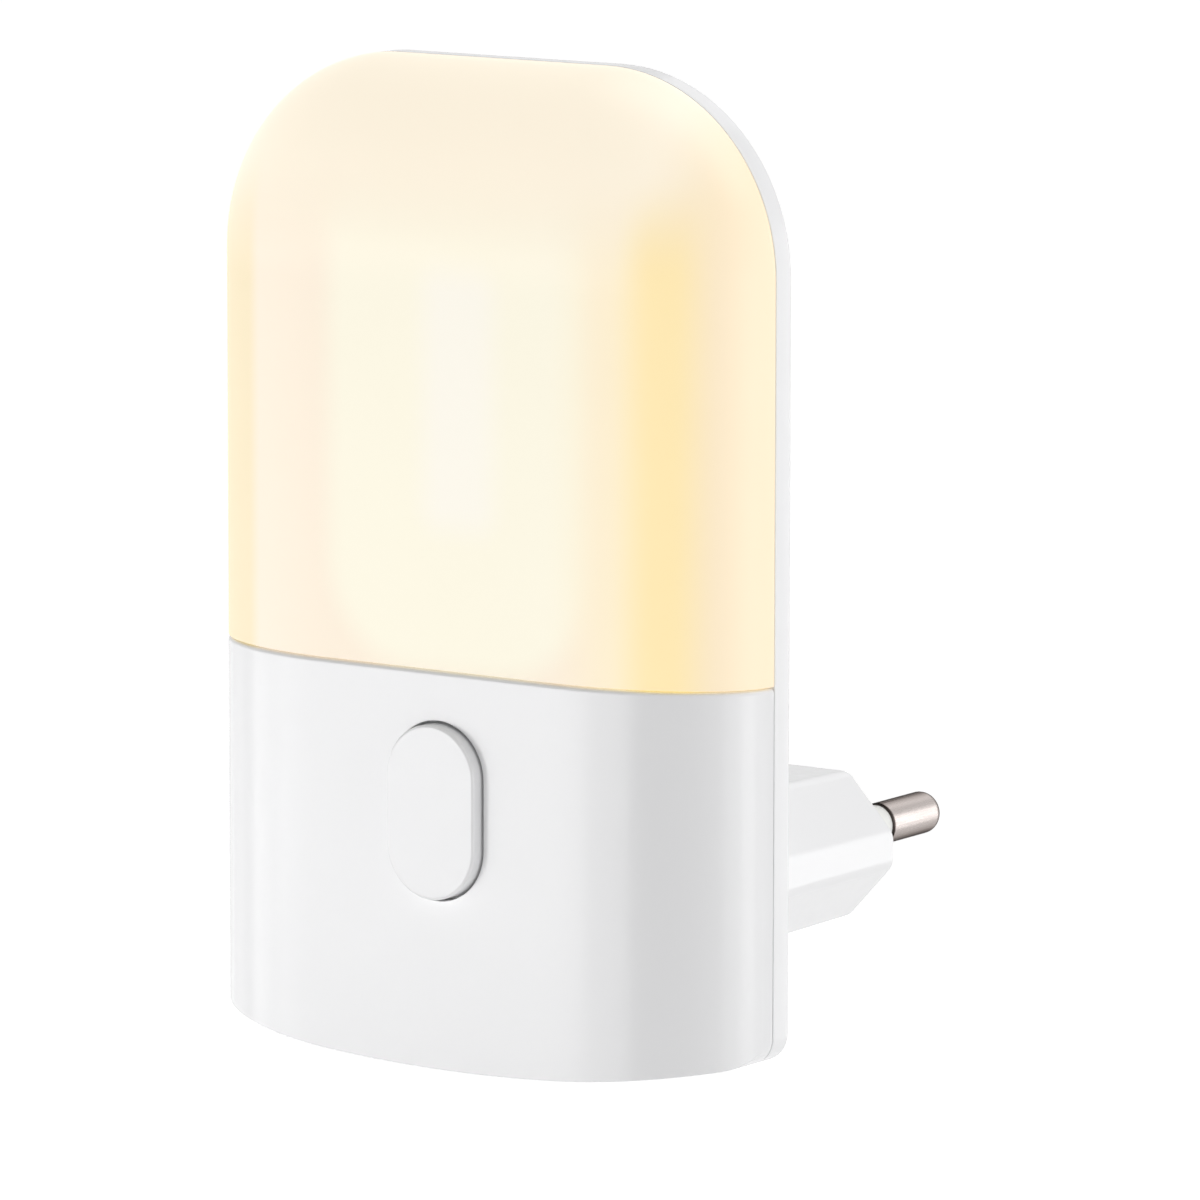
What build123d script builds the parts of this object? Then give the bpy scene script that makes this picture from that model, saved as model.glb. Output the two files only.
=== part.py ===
from build123d import *
import math
import os

# Plug-in night light: a glowing opal diffuser over a white housing with a push button, on a thin
# rear cover that carries a flat two-pin mains plug.
#
# Millimetres. The origin is the middle of the plug's engagement face, between the pins. +Y runs
# along the pins into the socket, +Z is up and the lit front faces -Y. Depths inside the body are
# counted forward (towards -Y) from the parting plane, where the front shells meet the rear cover.

# --- Body, seen from the front ---
body_width = 59.0
body_height = 90.0
split_height = 36.2            # lower edge of the diffuser above the foot
foot_sagitta = 2.6             # how far the curved foot drops in the middle
foot_corner_radius = 2.5
flat_corner_radius = 1.0       # corner of the flat front area at the crown
crown_reach = 17.0             # how far the elliptical edge reaches in from the outline

# --- Body, in depth ---
shell_depth = 10.0             # flat front to the parting plane
shell_wall = 1.8
rim_depth = 2.8                # rear cover behind the parting plane
plate_wall = 1.6
rear_edge_radius = 0.8
parting_gap = 0.12             # visible line between the front shells and the rear cover
split_gap = 0.12               # visible line between diffuser and housing

# --- How the shells locate on each other ---
lip_height = 1.8               # upstand of the rear cover inside the front shells
lip_wall = 1.0
lip_clearance = 0.08           # where the front shells have crowned in over the lip
tongue_length = 2.0            # diffuser edge tucked behind the housing wall
tongue_wall = 0.8
tongue_clearance = 0.1
shelf_wall = 1.2               # light barrier across the top of the housing
shelf_clearance = 0.3
nub_length = 6.0
nub_height = 0.75
nub_depth = 0.65               # nub centre ahead of the parting plane
nub_radius = 0.35
nub_clearance = 0.15
nub_pitch = 18.0
nub_drop = 3.0                 # upper nub's end below the shoulder

# --- Flat two-pin plug ---
plug_reach = 34.2              # rear plate to engagement face
plug_centre_height = 15.0      # plug axis above the lowest point of the foot
plug_width = 35.3
plug_height = 13.7
plug_side_height = 3.0         # upright part of each side
plug_flat_width = 25.3         # flat top and bottom between the bevels
plug_corner_radius = 1.6
plug_draft = 1.0               # degrees, growing towards the body
plug_wall = 1.6
carrier_wall = 3.2
carrier_seat = 0.9             # ledge that the pin carrier rests on
carrier_clearance = 0.05
carrier_boss_radius = 3.1
carrier_boss_length = 2.0

# --- Pins ---
pin_spacing = 18.6             # at the engagement face
pin_tip_spacing = 17.5         # the pins lean towards each other
pin_length = 19.0
pin_bare_length = 9.0
pin_radius = 2.0
pin_tip_radius = 1.2
pin_core_radius = 1.5
sleeve_radius = 1.84
sleeve_clearance = 0.02
bore_chamfer = 0.25
pin_collar_radius = 2.4
pin_collar_length = 1.0
pin_tail_radius = 1.1
pin_tail_length = 4.5

# --- Button ---
button_width = 9.6
button_height = 15.8
button_drop = 12.7             # button's centre below the diffuser
button_proud = 1.2
button_wall = 1.2
button_clearance = 0.15
button_edge_radius = 0.45
button_flange = 1.2
flange_wall = 1.0
flange_clearance = 0.05
collar_wall = 1.0
collar_length = 2.0
stem_radius = 1.6

# --- Light board ---
board_inset = 4.5
board_foot_gap = 1.6           # board's lower edge above the case screw bosses
board_wall = 1.2
board_rear_depth = 0.4         # board's rear face ahead of the parting plane
board_screw_inset = 10.0       # upper screws, in from the body's sides
board_screw_drop = 16.0        # and below its top
low_screw_gap = 1.38           # lower screw's head below the light barrier
standoff_radius = 2.6
screw_core_radius = 0.85
screw_core_clearance = 0.05
screw_hole_radius = 1.1
board_screw_head_radius = 1.7
board_screw_head_height = 1.1
board_screw_bite = 2.1

# --- Lamps ---
led_width = 2.8
led_height = 3.5
led_depth = 0.7
led_bevel = 0.2
led_columns = 2
led_rows = 3
led_pitch_x = 12.0
led_pitch_z = 13.0
led_drop = 29.0                # middle of the lamps below the body's top

# --- Push switch behind the button ---
switch_side = 6.0
switch_base_depth = 3.2
switch_floor = 0.8
switch_bore_radius = 2.4
switch_edge = 0.3
cover_wall = 0.3
cover_bore_radius = 1.85
plunger_clearance = 0.1        # in the cover's bore
plunger_proud = 0.8            # in front of the switch's cover
plunger_flange_clearance = 0.15
plunger_flange_gap = 0.1
plunger_tip_bevel = 0.25
dome_clearance = 0.3           # round the dome, in the switch body
dome_rise = 0.35
dome_wall = 0.1
dome_gap = 0.05
press_gap = 0.05
terminal_width = 0.7
terminal_wall = 0.3
terminal_reach = 1.6
terminal_pitch = 4.5

# --- Driver board inside the plug ---
driver_side_room = 3.95        # board's edges in from the plug's sides
driver_length = 25.0
driver_wall = 1.6
driver_gap = 0.05              # pin tails over the board
driver_front_gap = 0.3         # board behind the pin collars
rail_wall = 1.1
rail_overlap = 1.0
groove_clearance = 0.1
film_size = (17.0, 9.5, 5.2)
film_place = (-4.0, 10.3)      # centre across, and behind the board's socket end
film_edge_radius = 0.6
can_radius = 2.6
can_length = 11.0
can_place = (-7.0, 19.2)
can_groove_radius = 0.25
can_groove_place = 1.6
rectifier_size = (4.7, 3.9, 1.6)
rectifier_place = (9.0, 20.3)
chip_size = (4.9, 3.9, 1.4)
chip_place = (9.0, 14.0)
lead_foot_width = 0.45
lead_foot_wall = 0.25
lead_foot_reach = 0.9
fuse_radius = 1.2
fuse_length = 4.6
fuse_end_radius = 0.4
fuse_place = (9.4, 8.2)
fuse_lead_radius = 0.3
fuse_lead_reach = 0.7
fuse_lead_bend = 0.4
fuse_lift = 0.3
chip_resistor_size = (2.0, 1.25, 0.55)
chip_resistor_count = 3
chip_resistor_pitch = 2.6
chip_resistor_place = (2.6, 19.6)
part_seat = 0.02               # solder film under a board-mounted part

# --- Leads from the driver board to the light board ---
wire_radius = 0.6
wire_x = 6.0
wire_spread = 2.5
wire_start = 2.4               # ahead of the driver board's inner end
wire_rise = 2.2
wire_straight = 1.5
wire_end_straight = 1.6
wire_bend_radius = 2.0

# --- Case screws, from behind ---
case_screw_inset = 9.0         # in from the body's sides
boss_lip_gap = 0.5             # housing's boss above the cover's lip
case_boss_radius = 3.4
case_boss_depth = 0.3          # end of the cover's boss ahead of the parting plane
case_boss_gap = 0.2
housing_boss_radius = 2.7
case_head_radius = 2.3
case_head_height = 1.3
case_head_clearance = 0.25
case_recess_depth = 1.6
case_core_radius = 1.2
case_hole_radius = 1.45
case_core_clearance = 0.03
case_screw_bite = 6.0
case_pilot_depth = 6.6
drive_slot_width = 0.6
drive_slot_depth = 0.5

# --- Worked out from the above ---
rear_y = -plug_reach
parting_y = rear_y - rim_depth
foot_z = -plug_centre_height
top_z = foot_z + body_height
split_z = foot_z + split_height
button_z = split_z - button_drop
corner_radius = crown_reach + flat_corner_radius
corner_x = body_width / 2 - corner_radius
shoulder_z = top_z - corner_radius
foot_radius = ((body_width / 2) ** 2 + foot_sagitta**2) / (2 * foot_sagitta)
foot_centre_z = foot_z + foot_radius
smallest_corner = 0.4
inner_depth = shell_depth - shell_wall
crown_in = (crown_reach - shell_wall) * (1 - math.sqrt(1 - (lip_height / inner_depth) ** 2))
lip_inset = shell_wall + crown_in + lip_clearance
plate_depth = plate_wall - rim_depth
board_front_depth = board_rear_depth + board_wall
switch_front_depth = board_front_depth + switch_base_depth
plunger_tip = switch_front_depth + cover_wall + plunger_proud
plunger_radius = cover_bore_radius - plunger_clearance
plunger_flange_radius = switch_bore_radius - plunger_flange_clearance
dome_radius = switch_bore_radius - dome_clearance
driver_top_z = -pin_tail_radius - driver_gap
driver_width = plug_width - 2 * driver_side_room
driver_end_y = -(carrier_wall + carrier_boss_length + pin_collar_length + driver_front_gap)
shelf_top_z = split_z - split_gap - tongue_length
shelf_low_z = shelf_top_z - shelf_wall
case_screw_x = body_width / 2 - case_screw_inset
foot_rise = foot_radius - math.sqrt(foot_radius**2 - case_screw_x**2)
lip_top_z = foot_z + foot_rise + lip_inset + lip_wall
case_screw_z = lip_top_z + boss_lip_gap + housing_boss_radius
board_foot_z = case_screw_z + housing_boss_radius + board_foot_gap
board_screw_x = body_width / 2 - board_screw_inset
board_screw_z = top_z - board_screw_drop
low_screw_z = shelf_low_z - low_screw_gap - board_screw_head_radius
pin_lean = math.atan((pin_spacing - pin_tip_spacing) / 2 / pin_length)
sides = {"left": -1, "right": 1}


def ahead(depth):
    """A plane that much ahead of the parting plane: X right, Z up, a positive extrusion runs forward."""
    return Plane.XZ.offset(depth - parting_y)


def driver_plane(lift=0.0):
    """The driver board's upper face, or a plane above it."""
    return Plane.XY.offset(driver_top_z + lift)


def on_driver(place):
    """A place on the driver board, given across and behind the end nearest the pins."""
    across, behind = place
    return (across, driver_end_y - behind)


def pin_direction(side):
    """Unit vector along a pin, out of the engagement face."""
    return Vector(-side * math.sin(pin_lean), math.cos(pin_lean), 0)


def foot_corner(inset):
    """Where the rounded foot corner leaves the side, and the point where it joins the foot's arc."""
    half = body_width / 2 - inset
    arc = foot_radius - inset
    corner = max(foot_corner_radius - inset, smallest_corner)
    corner_z = foot_centre_z - math.sqrt((arc - corner) ** 2 - (half - corner) ** 2)
    reach = arc / (arc - corner)
    return corner_z, ((half - corner) * reach, foot_centre_z + (corner_z - foot_centre_z) * reach)


def front_outline(inset, plane):
    """The outline of the body from the front, drawn in all round by inset."""
    half = body_width / 2 - inset
    top = top_z - inset
    corner_z, foot_end = foot_corner(inset)
    with BuildSketch(plane) as outline:
        with BuildLine():
            Line((0, top), (corner_x, top))
            TangentArc((corner_x, top), (half, shoulder_z), tangent=(1, 0))
            Line((half, shoulder_z), (half, corner_z))
            TangentArc((half, corner_z), foot_end, tangent=(0, -1))
            TangentArc((0, foot_z + inset), foot_end, tangent=(1, 0))
            mirror(about=Plane.YZ)
        make_face()
    return outline.sketch


def crowned_form(inset):
    """The whole front volume with its elliptical edges, drawn in all round by inset."""
    depth = shell_depth - inset
    reach = crown_reach - inset
    half = body_width / 2 - inset
    flat = half - reach
    crown_z = top_z - crown_reach
    corner_z, foot_end = foot_corner(inset)
    outside = half + inset + foot_corner_radius
    below = foot_z - foot_corner_radius
    with BuildPart() as form:
        with BuildSketch(Plane.XY.offset(below)):
            with BuildLine():
                EllipticalCenterArc((-flat, parting_y), reach, depth, start_angle=180)
                Line((-flat, parting_y - depth), (flat, parting_y - depth))
                EllipticalCenterArc((flat, parting_y), reach, depth, start_angle=270)
                Line((half, parting_y), (-half, parting_y))
            make_face()
        extrude(amount=shoulder_z - below)
        with BuildSketch(Plane.YZ.offset(corner_x)) as edge:
            with BuildLine():
                EllipticalCenterArc((parting_y, crown_z), depth, reach, start_angle=90)
                Line((parting_y - depth, crown_z), (parting_y - depth, shoulder_z))
                Line((parting_y - depth, shoulder_z), (parting_y, shoulder_z))
                Line((parting_y, shoulder_z), (parting_y, top_z - inset))
            make_face()
        revolve(edge.sketch, Axis((corner_x, 0, shoulder_z), (0, 1, 0)), 90)
        mirror(about=Plane.YZ)
        extrude(edge.sketch, amount=-2 * corner_x)
        with BuildSketch(ahead(0)) as under:
            with BuildLine():
                TangentArc((0, foot_z + inset), foot_end, tangent=(1, 0))
                TangentArc((half, corner_z), foot_end, tangent=(0, -1))
                Polyline(
                    (half, corner_z),
                    (outside, corner_z),
                    (outside, below),
                    (0, below),
                    (0, foot_z + inset),
                )
            make_face()
            mirror(about=Plane.YZ)
        extrude(under.sketch, amount=shell_depth, mode=Mode.SUBTRACT)
    return form.part


def layer(form, low_z, high_z):
    """The slice of a form between two heights."""
    with BuildPart() as cut:
        add(form)
        split(bisect_by=Plane.XY.offset(low_z), keep=Keep.TOP)
        split(bisect_by=Plane.XY.offset(high_z), keep=Keep.BOTTOM)
    return cut.part


def plug_profile(inset, plane):
    """The plug's bevelled six-sided section, drawn in all round by inset."""
    with BuildSketch(plane) as profile:
        with BuildLine():
            Polyline(
                (plug_flat_width / 2, plug_height / 2),
                (plug_width / 2, plug_side_height / 2),
                (plug_width / 2, -plug_side_height / 2),
                (plug_flat_width / 2, -plug_height / 2),
                (-plug_flat_width / 2, -plug_height / 2),
                (-plug_width / 2, -plug_side_height / 2),
                (-plug_width / 2, plug_side_height / 2),
                (-plug_flat_width / 2, plug_height / 2),
                close=True,
            )
        make_face()
        if inset:
            offset(amount=-inset, kind=Kind.INTERSECTION)
        fillet(profile.vertices(), max(plug_corner_radius - inset, smallest_corner))
    return profile.sketch


def stadium(grow, plane):
    """The button's outline, grown all round."""
    with BuildSketch(plane) as outline:
        with Locations((0, button_z)):
            SlotOverall(button_height + 2 * grow, button_width + 2 * grow, rotation=90)
    return outline.sketch


def forward_section(x, depth, z):
    """A plane through an axis that runs forward: local X is the radius and local Y runs forward."""
    return Plane(origin=(x, parting_y - depth, z), x_dir=(1, 0, 0), z_dir=(0, 0, -1))


def forward_axis(x, z):
    """The axis that goes with forward_section."""
    return Axis((x, 0, z), (0, -1, 0))


# Forms that several pieces share: the outer skin, the hollow, and the two faces of the lap joint
outer_form = crowned_form(0)
hollow_form = crowned_form(shell_wall)
tongue_form = crowned_form(shell_wall - tongue_wall)
rebate_form = crowned_form(shell_wall - tongue_wall - tongue_clearance)

os.makedirs("parts", exist_ok=True)

# --- Diffuser: an opal crown, open behind, whose lower edge tucks behind the housing ---
nub_span = nub_height + shell_wall / 2
nub_x = body_width / 2 - shell_wall - nub_height + nub_span / 2
upper_nub_z = shoulder_z - nub_drop - nub_length / 2
nub_heights = [upper_nub_z - nub_pitch, upper_nub_z]
with BuildPart() as diffuser:
    add(layer(outer_form, split_z, top_z))
    add(layer(tongue_form, split_z - tongue_length, split_z + tongue_length))
    add(hollow_form, mode=Mode.SUBTRACT)
    for nub_z in nub_heights:
        with BuildSketch(Plane.XY.offset(nub_z - nub_length / 2)):
            with Locations((-nub_x, parting_y - nub_depth), (nub_x, parting_y - nub_depth)):
                SlotOverall(nub_span, 2 * nub_radius)
        extrude(amount=nub_length)
    split(bisect_by=ahead(parting_gap), keep=Keep.TOP)
diffuser.part.label = "diffuser"
export_step(diffuser.part, "parts/diffuser.step")

# --- Front housing: its mould core first, with the screw bosses and the button's collar left out ---
flange_front_depth = inner_depth - flange_clearance
flange_back_depth = flange_front_depth - flange_wall
boss_start_depth = case_boss_depth + case_boss_gap
with BuildPart() as housing_core:
    add(layer(hollow_form, foot_z, shelf_low_z))
    with BuildSketch(ahead(boss_start_depth)):
        with Locations((-case_screw_x, case_screw_z), (case_screw_x, case_screw_z)):
            Circle(housing_boss_radius)
    extrude(amount=shell_depth, mode=Mode.SUBTRACT)
    collar_bore = button_flange + button_clearance
    with BuildSketch(ahead(inner_depth - collar_length)):
        add(stadium(collar_bore + collar_wall, Plane.XY))
        add(stadium(collar_bore, Plane.XY), mode=Mode.SUBTRACT)
    extrude(amount=shell_depth, mode=Mode.SUBTRACT)

shelf_back_depth = max(board_front_depth, lip_height) + shelf_clearance
with BuildPart() as shelf_relief:
    add(layer(hollow_form, shelf_low_z - shelf_wall, shelf_top_z + shelf_wall))
    split(bisect_by=ahead(shelf_back_depth), keep=Keep.BOTTOM)

with BuildPart() as front_housing:
    add(layer(outer_form, foot_z, split_z - split_gap))
    add(housing_core.part, mode=Mode.SUBTRACT)
    add(layer(rebate_form, shelf_top_z, split_z), mode=Mode.SUBTRACT)
    add(shelf_relief.part, mode=Mode.SUBTRACT)
    opening = stadium(button_clearance, ahead(inner_depth - flange_wall))
    extrude(opening, amount=shell_depth, mode=Mode.SUBTRACT)
    with BuildSketch(ahead(0)):
        with Locations((-case_screw_x, case_screw_z), (case_screw_x, case_screw_z)):
            Circle(case_core_radius + case_core_clearance)
    extrude(amount=case_pilot_depth, mode=Mode.SUBTRACT)
    split(bisect_by=ahead(parting_gap), keep=Keep.TOP)
front_housing.part.label = "front_housing"
export_step(front_housing.part, "parts/front_housing.step")

# --- Button: a hollow cap, held in by its flange, with a stem that works the switch ---
cap_front_depth = shell_depth + button_proud
stem_tip_depth = plunger_tip + press_gap
with BuildPart() as button_cap:
    extrude(stadium(button_flange, ahead(flange_back_depth)), amount=flange_wall)
    extrude(stadium(0, ahead(flange_back_depth)), amount=cap_front_depth - flange_back_depth)
    fillet(button_cap.faces().sort_by(Axis.Y)[0].edges(), button_edge_radius)
    pocket_depth = cap_front_depth - button_wall - flange_back_depth
    extrude(stadium(-button_wall, ahead(flange_back_depth)), amount=pocket_depth, mode=Mode.SUBTRACT)
    with BuildSketch(ahead(stem_tip_depth)):
        with Locations((0, button_z)):
            Circle(stem_radius)
    extrude(amount=cap_front_depth - button_wall - stem_tip_depth)
button_cap.part.label = "button_cap"
export_step(button_cap.part, "parts/button_cap.step")

# --- Rear cover: rim, locating lip, plate and the hollow plug body in one moulding ---
standoff_height = board_rear_depth - plate_depth
board_screws_at = [
    (-board_screw_x, board_screw_z),
    (board_screw_x, board_screw_z),
    (0, low_screw_z),
]
case_screws_at = [(-case_screw_x, case_screw_z), (case_screw_x, case_screw_z)]
window_reach = 2 * (lip_inset + lip_wall)
with BuildPart() as rear_cover:
    extrude(front_outline(0, ahead(-rim_depth)), amount=rim_depth)
    fillet(rear_cover.faces().sort_by(Axis.Y)[-1].edges(), rear_edge_radius)
    extrude(front_outline(lip_inset, ahead(0)), amount=lip_height)
    extrude(
        front_outline(lip_inset + lip_wall, ahead(plate_depth)),
        amount=lip_height - plate_depth,
        mode=Mode.SUBTRACT,
    )
    with BuildSketch(ahead(plate_depth)):
        with Locations(*case_screws_at):
            Circle(case_boss_radius)
    extrude(amount=case_boss_depth - plate_depth)
    with BuildSketch(ahead(plate_depth)):
        with Locations(*board_screws_at):
            Circle(standoff_radius)
    extrude(amount=standoff_height)
    extrude(plug_profile(0, Plane.XZ), amount=plug_reach + plate_wall / 2, taper=-plug_draft)
    extrude(
        plug_profile(plug_wall, Plane.XZ.offset(carrier_wall)),
        amount=-parting_y - carrier_wall,
        taper=-plug_draft,
        mode=Mode.SUBTRACT,
    )
    extrude(plug_profile(plug_wall - carrier_seat, Plane.XZ), amount=carrier_wall, mode=Mode.SUBTRACT)
    # grooves in the plug body that hold the driver board by its long edges
    with BuildSketch(Plane.XZ.offset(-driver_end_y)) as rails:
        with Locations((0, driver_top_z - driver_wall / 2)):
            Rectangle(plug_width, driver_wall + 2 * (groove_clearance + rail_wall))
        add(plug_profile(plug_wall / 2, Plane.XY), mode=Mode.INTERSECT)
        Rectangle(driver_width - 2 * rail_overlap, plug_height, mode=Mode.SUBTRACT)
        with Locations((0, driver_top_z - driver_wall / 2)):
            Rectangle(
                driver_width + 2 * groove_clearance,
                driver_wall + 2 * groove_clearance,
                mode=Mode.SUBTRACT,
            )
    extrude(amount=driver_length)
    # windows in the lip for the diffuser's snap nubs
    for nub_z in nub_heights:
        with BuildSketch(ahead(nub_depth - nub_radius - nub_clearance)):
            with Locations((0, nub_z)):
                Rectangle(body_width - lip_inset, nub_length + 2 * nub_clearance)
                Rectangle(body_width - window_reach - lip_wall, body_height, mode=Mode.SUBTRACT)
        extrude(amount=2 * (nub_radius + nub_clearance), mode=Mode.SUBTRACT)
    # screw holes, from behind and from the board side
    with BuildSketch(ahead(-rim_depth)):
        with Locations(*case_screws_at):
            Circle(case_head_radius + case_head_clearance)
    extrude(amount=case_recess_depth, mode=Mode.SUBTRACT)
    with BuildSketch(ahead(-rim_depth)):
        with Locations(*case_screws_at):
            Circle(case_hole_radius)
    extrude(amount=rim_depth + shell_depth, mode=Mode.SUBTRACT)
    with BuildSketch(ahead(board_rear_depth)):
        with Locations(*board_screws_at):
            Circle(screw_core_radius + screw_core_clearance)
    extrude(amount=-board_screw_bite - part_seat, mode=Mode.SUBTRACT)
rear_cover.part.label = "rear_cover"
export_step(rear_cover.part, "parts/rear_cover.step")

# --- Pin carrier: closes the plug body and holds both pins ---
collar_start = carrier_wall + carrier_boss_length
with BuildPart() as pin_carrier:
    extrude(plug_profile(plug_wall - carrier_seat + carrier_clearance, Plane.XZ), amount=carrier_wall)
    for side in sides.values():
        base = Plane(origin=(side * pin_spacing / 2, 0, 0), z_dir=pin_direction(side))
        with BuildSketch(base.offset(-collar_start)):
            Circle(carrier_boss_radius)
        extrude(amount=carrier_boss_length + carrier_wall / 2)
        with BuildSketch(base):
            Circle(sleeve_radius + sleeve_clearance)
        extrude(amount=pin_length, both=True, mode=Mode.SUBTRACT)
    chamfer(pin_carrier.faces().sort_by(Axis.Y)[-1].inner_wires().edges(), bore_chamfer)
pin_carrier.part.label = "pin_carrier"
export_step(pin_carrier.part, "parts/pin_carrier.step")

# --- Pins and their insulating sleeves ---
sleeve_end = pin_length - pin_bare_length
tail_end = collar_start + pin_collar_length + pin_tail_length
for name, side in sides.items():
    along = pin_direction(side)
    base = Vector(side * pin_spacing / 2, 0, 0)
    section = Plane(origin=base, x_dir=along.cross(Vector(0, 0, 1)), z_dir=(0, 0, 1))
    with BuildPart() as pin:
        with BuildSketch(section) as half:
            with BuildLine():
                Polyline(
                    (0, pin_length),
                    (pin_radius, pin_length),
                    (pin_radius, sleeve_end),
                    (pin_core_radius, sleeve_end),
                    (pin_core_radius, -collar_start),
                    (pin_collar_radius, -collar_start),
                    (pin_collar_radius, -collar_start - pin_collar_length),
                    (pin_tail_radius, -collar_start - pin_collar_length),
                    (pin_tail_radius, -tail_end),
                    (0, -tail_end),
                    close=True,
                )
            make_face()
            fillet(half.vertices().group_by(Axis.Y)[-1].sort_by(Axis.X)[-1], pin_tip_radius)
        revolve(axis=Axis(base, along))
    pin.part.label = f"pin_{name}"
    export_step(pin.part, f"parts/pin_{name}.step")

    with BuildPart() as sleeve:
        with BuildSketch(section):
            with Locations((pin_core_radius + sleeve_clearance, -collar_start)):
                Rectangle(
                    sleeve_radius - pin_core_radius - sleeve_clearance,
                    sleeve_end + collar_start,
                    align=(Align.MIN, Align.MIN),
                )
        revolve(axis=Axis(base, along))
    sleeve.part.label = f"pin_sleeve_{name}"
    export_step(sleeve.part, f"parts/pin_sleeve_{name}.step")

# --- Light board, upright behind the diffuser ---
with BuildPart() as light_board:
    extrude(front_outline(board_inset, ahead(board_rear_depth)), amount=board_wall)
    split(bisect_by=Plane.XY.offset(board_foot_z), keep=Keep.TOP)
    with BuildSketch(ahead(board_rear_depth)):
        with Locations(*board_screws_at):
            Circle(screw_hole_radius)
    extrude(amount=board_wall, mode=Mode.SUBTRACT)
light_board.part.label = "light_board"
export_step(light_board.part, "parts/light_board.step")

with BuildPart() as leds:
    with BuildSketch(ahead(board_front_depth)):
        with Locations((0, top_z - led_drop)):
            with GridLocations(led_pitch_x, led_pitch_z, led_columns, led_rows):
                Rectangle(led_width, led_height)
    extrude(amount=led_depth)
    chamfer(leds.faces().group_by(Axis.Y)[0].edges(), led_bevel)
leds.part.label = "leds"
export_step(leds.part, "parts/leds.step")


def screws(places, seat_depth, head_radius, head_height, core_radius, length, forward):
    """Cross-recessed screws at these places: heads seat at a depth, cores run forward or back."""
    turn = 1 if forward else -1
    with BuildPart() as group:
        for x, z in places:
            with BuildSketch(forward_section(x, seat_depth, z)):
                with BuildLine():
                    Line((0, turn * length), (core_radius, turn * length))
                    Line((core_radius, turn * length), (core_radius, 0))
                    Line((core_radius, 0), (head_radius, 0))
                    Line((head_radius, 0), (head_radius, -turn * head_height / 2))
                    ThreePointArc(
                        (head_radius, -turn * head_height / 2),
                        (head_radius * math.sqrt(0.5), -turn * head_height * (1 + math.sqrt(0.5)) / 2),
                        (0, -turn * head_height),
                    )
                    Line((0, -turn * head_height), (0, turn * length))
                make_face()
            revolve(axis=forward_axis(x, z))
        with BuildSketch(ahead(seat_depth - turn * (head_height - drive_slot_depth))):
            with Locations(*places):
                Rectangle(head_radius, drive_slot_width)
                Rectangle(drive_slot_width, head_radius)
        extrude(amount=-turn * head_height, mode=Mode.SUBTRACT)
    return group.part


board_screws = screws(
    board_screws_at,
    board_front_depth,
    board_screw_head_radius,
    board_screw_head_height,
    screw_core_radius,
    board_wall + board_screw_bite,
    forward=False,
)
board_screws.label = "board_screws"
export_step(board_screws, "parts/board_screws.step")

case_screws = screws(
    case_screws_at,
    case_recess_depth - rim_depth,
    case_head_radius,
    case_head_height,
    case_core_radius,
    boss_start_depth + rim_depth - case_recess_depth + case_screw_bite,
    forward=True,
)
case_screws.label = "case_screws"
export_step(case_screws, "parts/case_screws.step")

# --- Push switch on the light board, behind the button ---
with BuildPart() as switch_body:
    with BuildSketch(ahead(board_front_depth)):
        with Locations((0, button_z)):
            RectangleRounded(switch_side, switch_side, switch_edge)
    extrude(amount=switch_base_depth)
    with BuildSketch(ahead(board_front_depth + switch_floor)):
        with Locations((0, button_z)):
            Circle(switch_bore_radius)
    extrude(amount=switch_base_depth, mode=Mode.SUBTRACT)
switch_body.part.label = "switch_body"
export_step(switch_body.part, "parts/switch_body.step")

with BuildPart() as switch_cover:
    with BuildSketch(ahead(switch_front_depth)):
        with Locations((0, button_z)):
            RectangleRounded(switch_side, switch_side, switch_edge)
            Circle(cover_bore_radius, mode=Mode.SUBTRACT)
    extrude(amount=cover_wall)
switch_cover.part.label = "switch_cover"
export_step(switch_cover.part, "parts/switch_cover.step")

plunger_foot_depth = board_front_depth + switch_floor + dome_rise + dome_gap
with BuildPart() as switch_plunger:
    with BuildSketch(forward_section(0, 0, button_z)) as half:
        with BuildLine():
            Polyline(
                (0, plunger_foot_depth),
                (plunger_flange_radius, plunger_foot_depth),
                (plunger_flange_radius, switch_front_depth - plunger_flange_gap),
                (plunger_radius, switch_front_depth - plunger_flange_gap),
                (plunger_radius, plunger_tip - plunger_tip_bevel),
                (plunger_radius - plunger_tip_bevel, plunger_tip),
                (0, plunger_tip),
                close=True,
            )
        make_face()
    revolve(axis=forward_axis(0, button_z))
switch_plunger.part.label = "switch_plunger"
export_step(switch_plunger.part, "parts/switch_plunger.step")

with BuildPart() as switch_dome:
    with BuildSketch(forward_section(0, board_front_depth + switch_floor, button_z)):
        with BuildLine():
            TangentArc((0, dome_rise), (dome_radius, dome_wall), tangent=(1, 0))
            Line((dome_radius, dome_wall), (dome_radius, 0))
            TangentArc((0, dome_rise - dome_wall), (dome_radius, 0), tangent=(1, 0))
            Line((0, dome_rise - dome_wall), (0, dome_rise))
        make_face()
    revolve(axis=forward_axis(0, button_z))
switch_dome.part.label = "switch_dome"
export_step(switch_dome.part, "parts/switch_dome.step")

with BuildPart() as switch_terminals:
    with BuildSketch(ahead(board_front_depth)):
        with Locations((0, button_z)):
            with GridLocations(switch_side + terminal_reach, terminal_pitch, 2, 2):
                Rectangle(terminal_reach, terminal_width)
    extrude(amount=terminal_wall)
switch_terminals.part.label = "switch_terminals"
export_step(switch_terminals.part, "parts/switch_terminals.step")

# --- Driver board inside the plug body, with its parts on the upper face ---
with BuildPart() as driver_board:
    with BuildSketch(driver_plane()):
        with Locations((0, driver_end_y - driver_length / 2)):
            Rectangle(driver_width, driver_length)
    extrude(amount=-driver_wall)
driver_board.part.label = "driver_board"
export_step(driver_board.part, "parts/driver_board.step")

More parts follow.
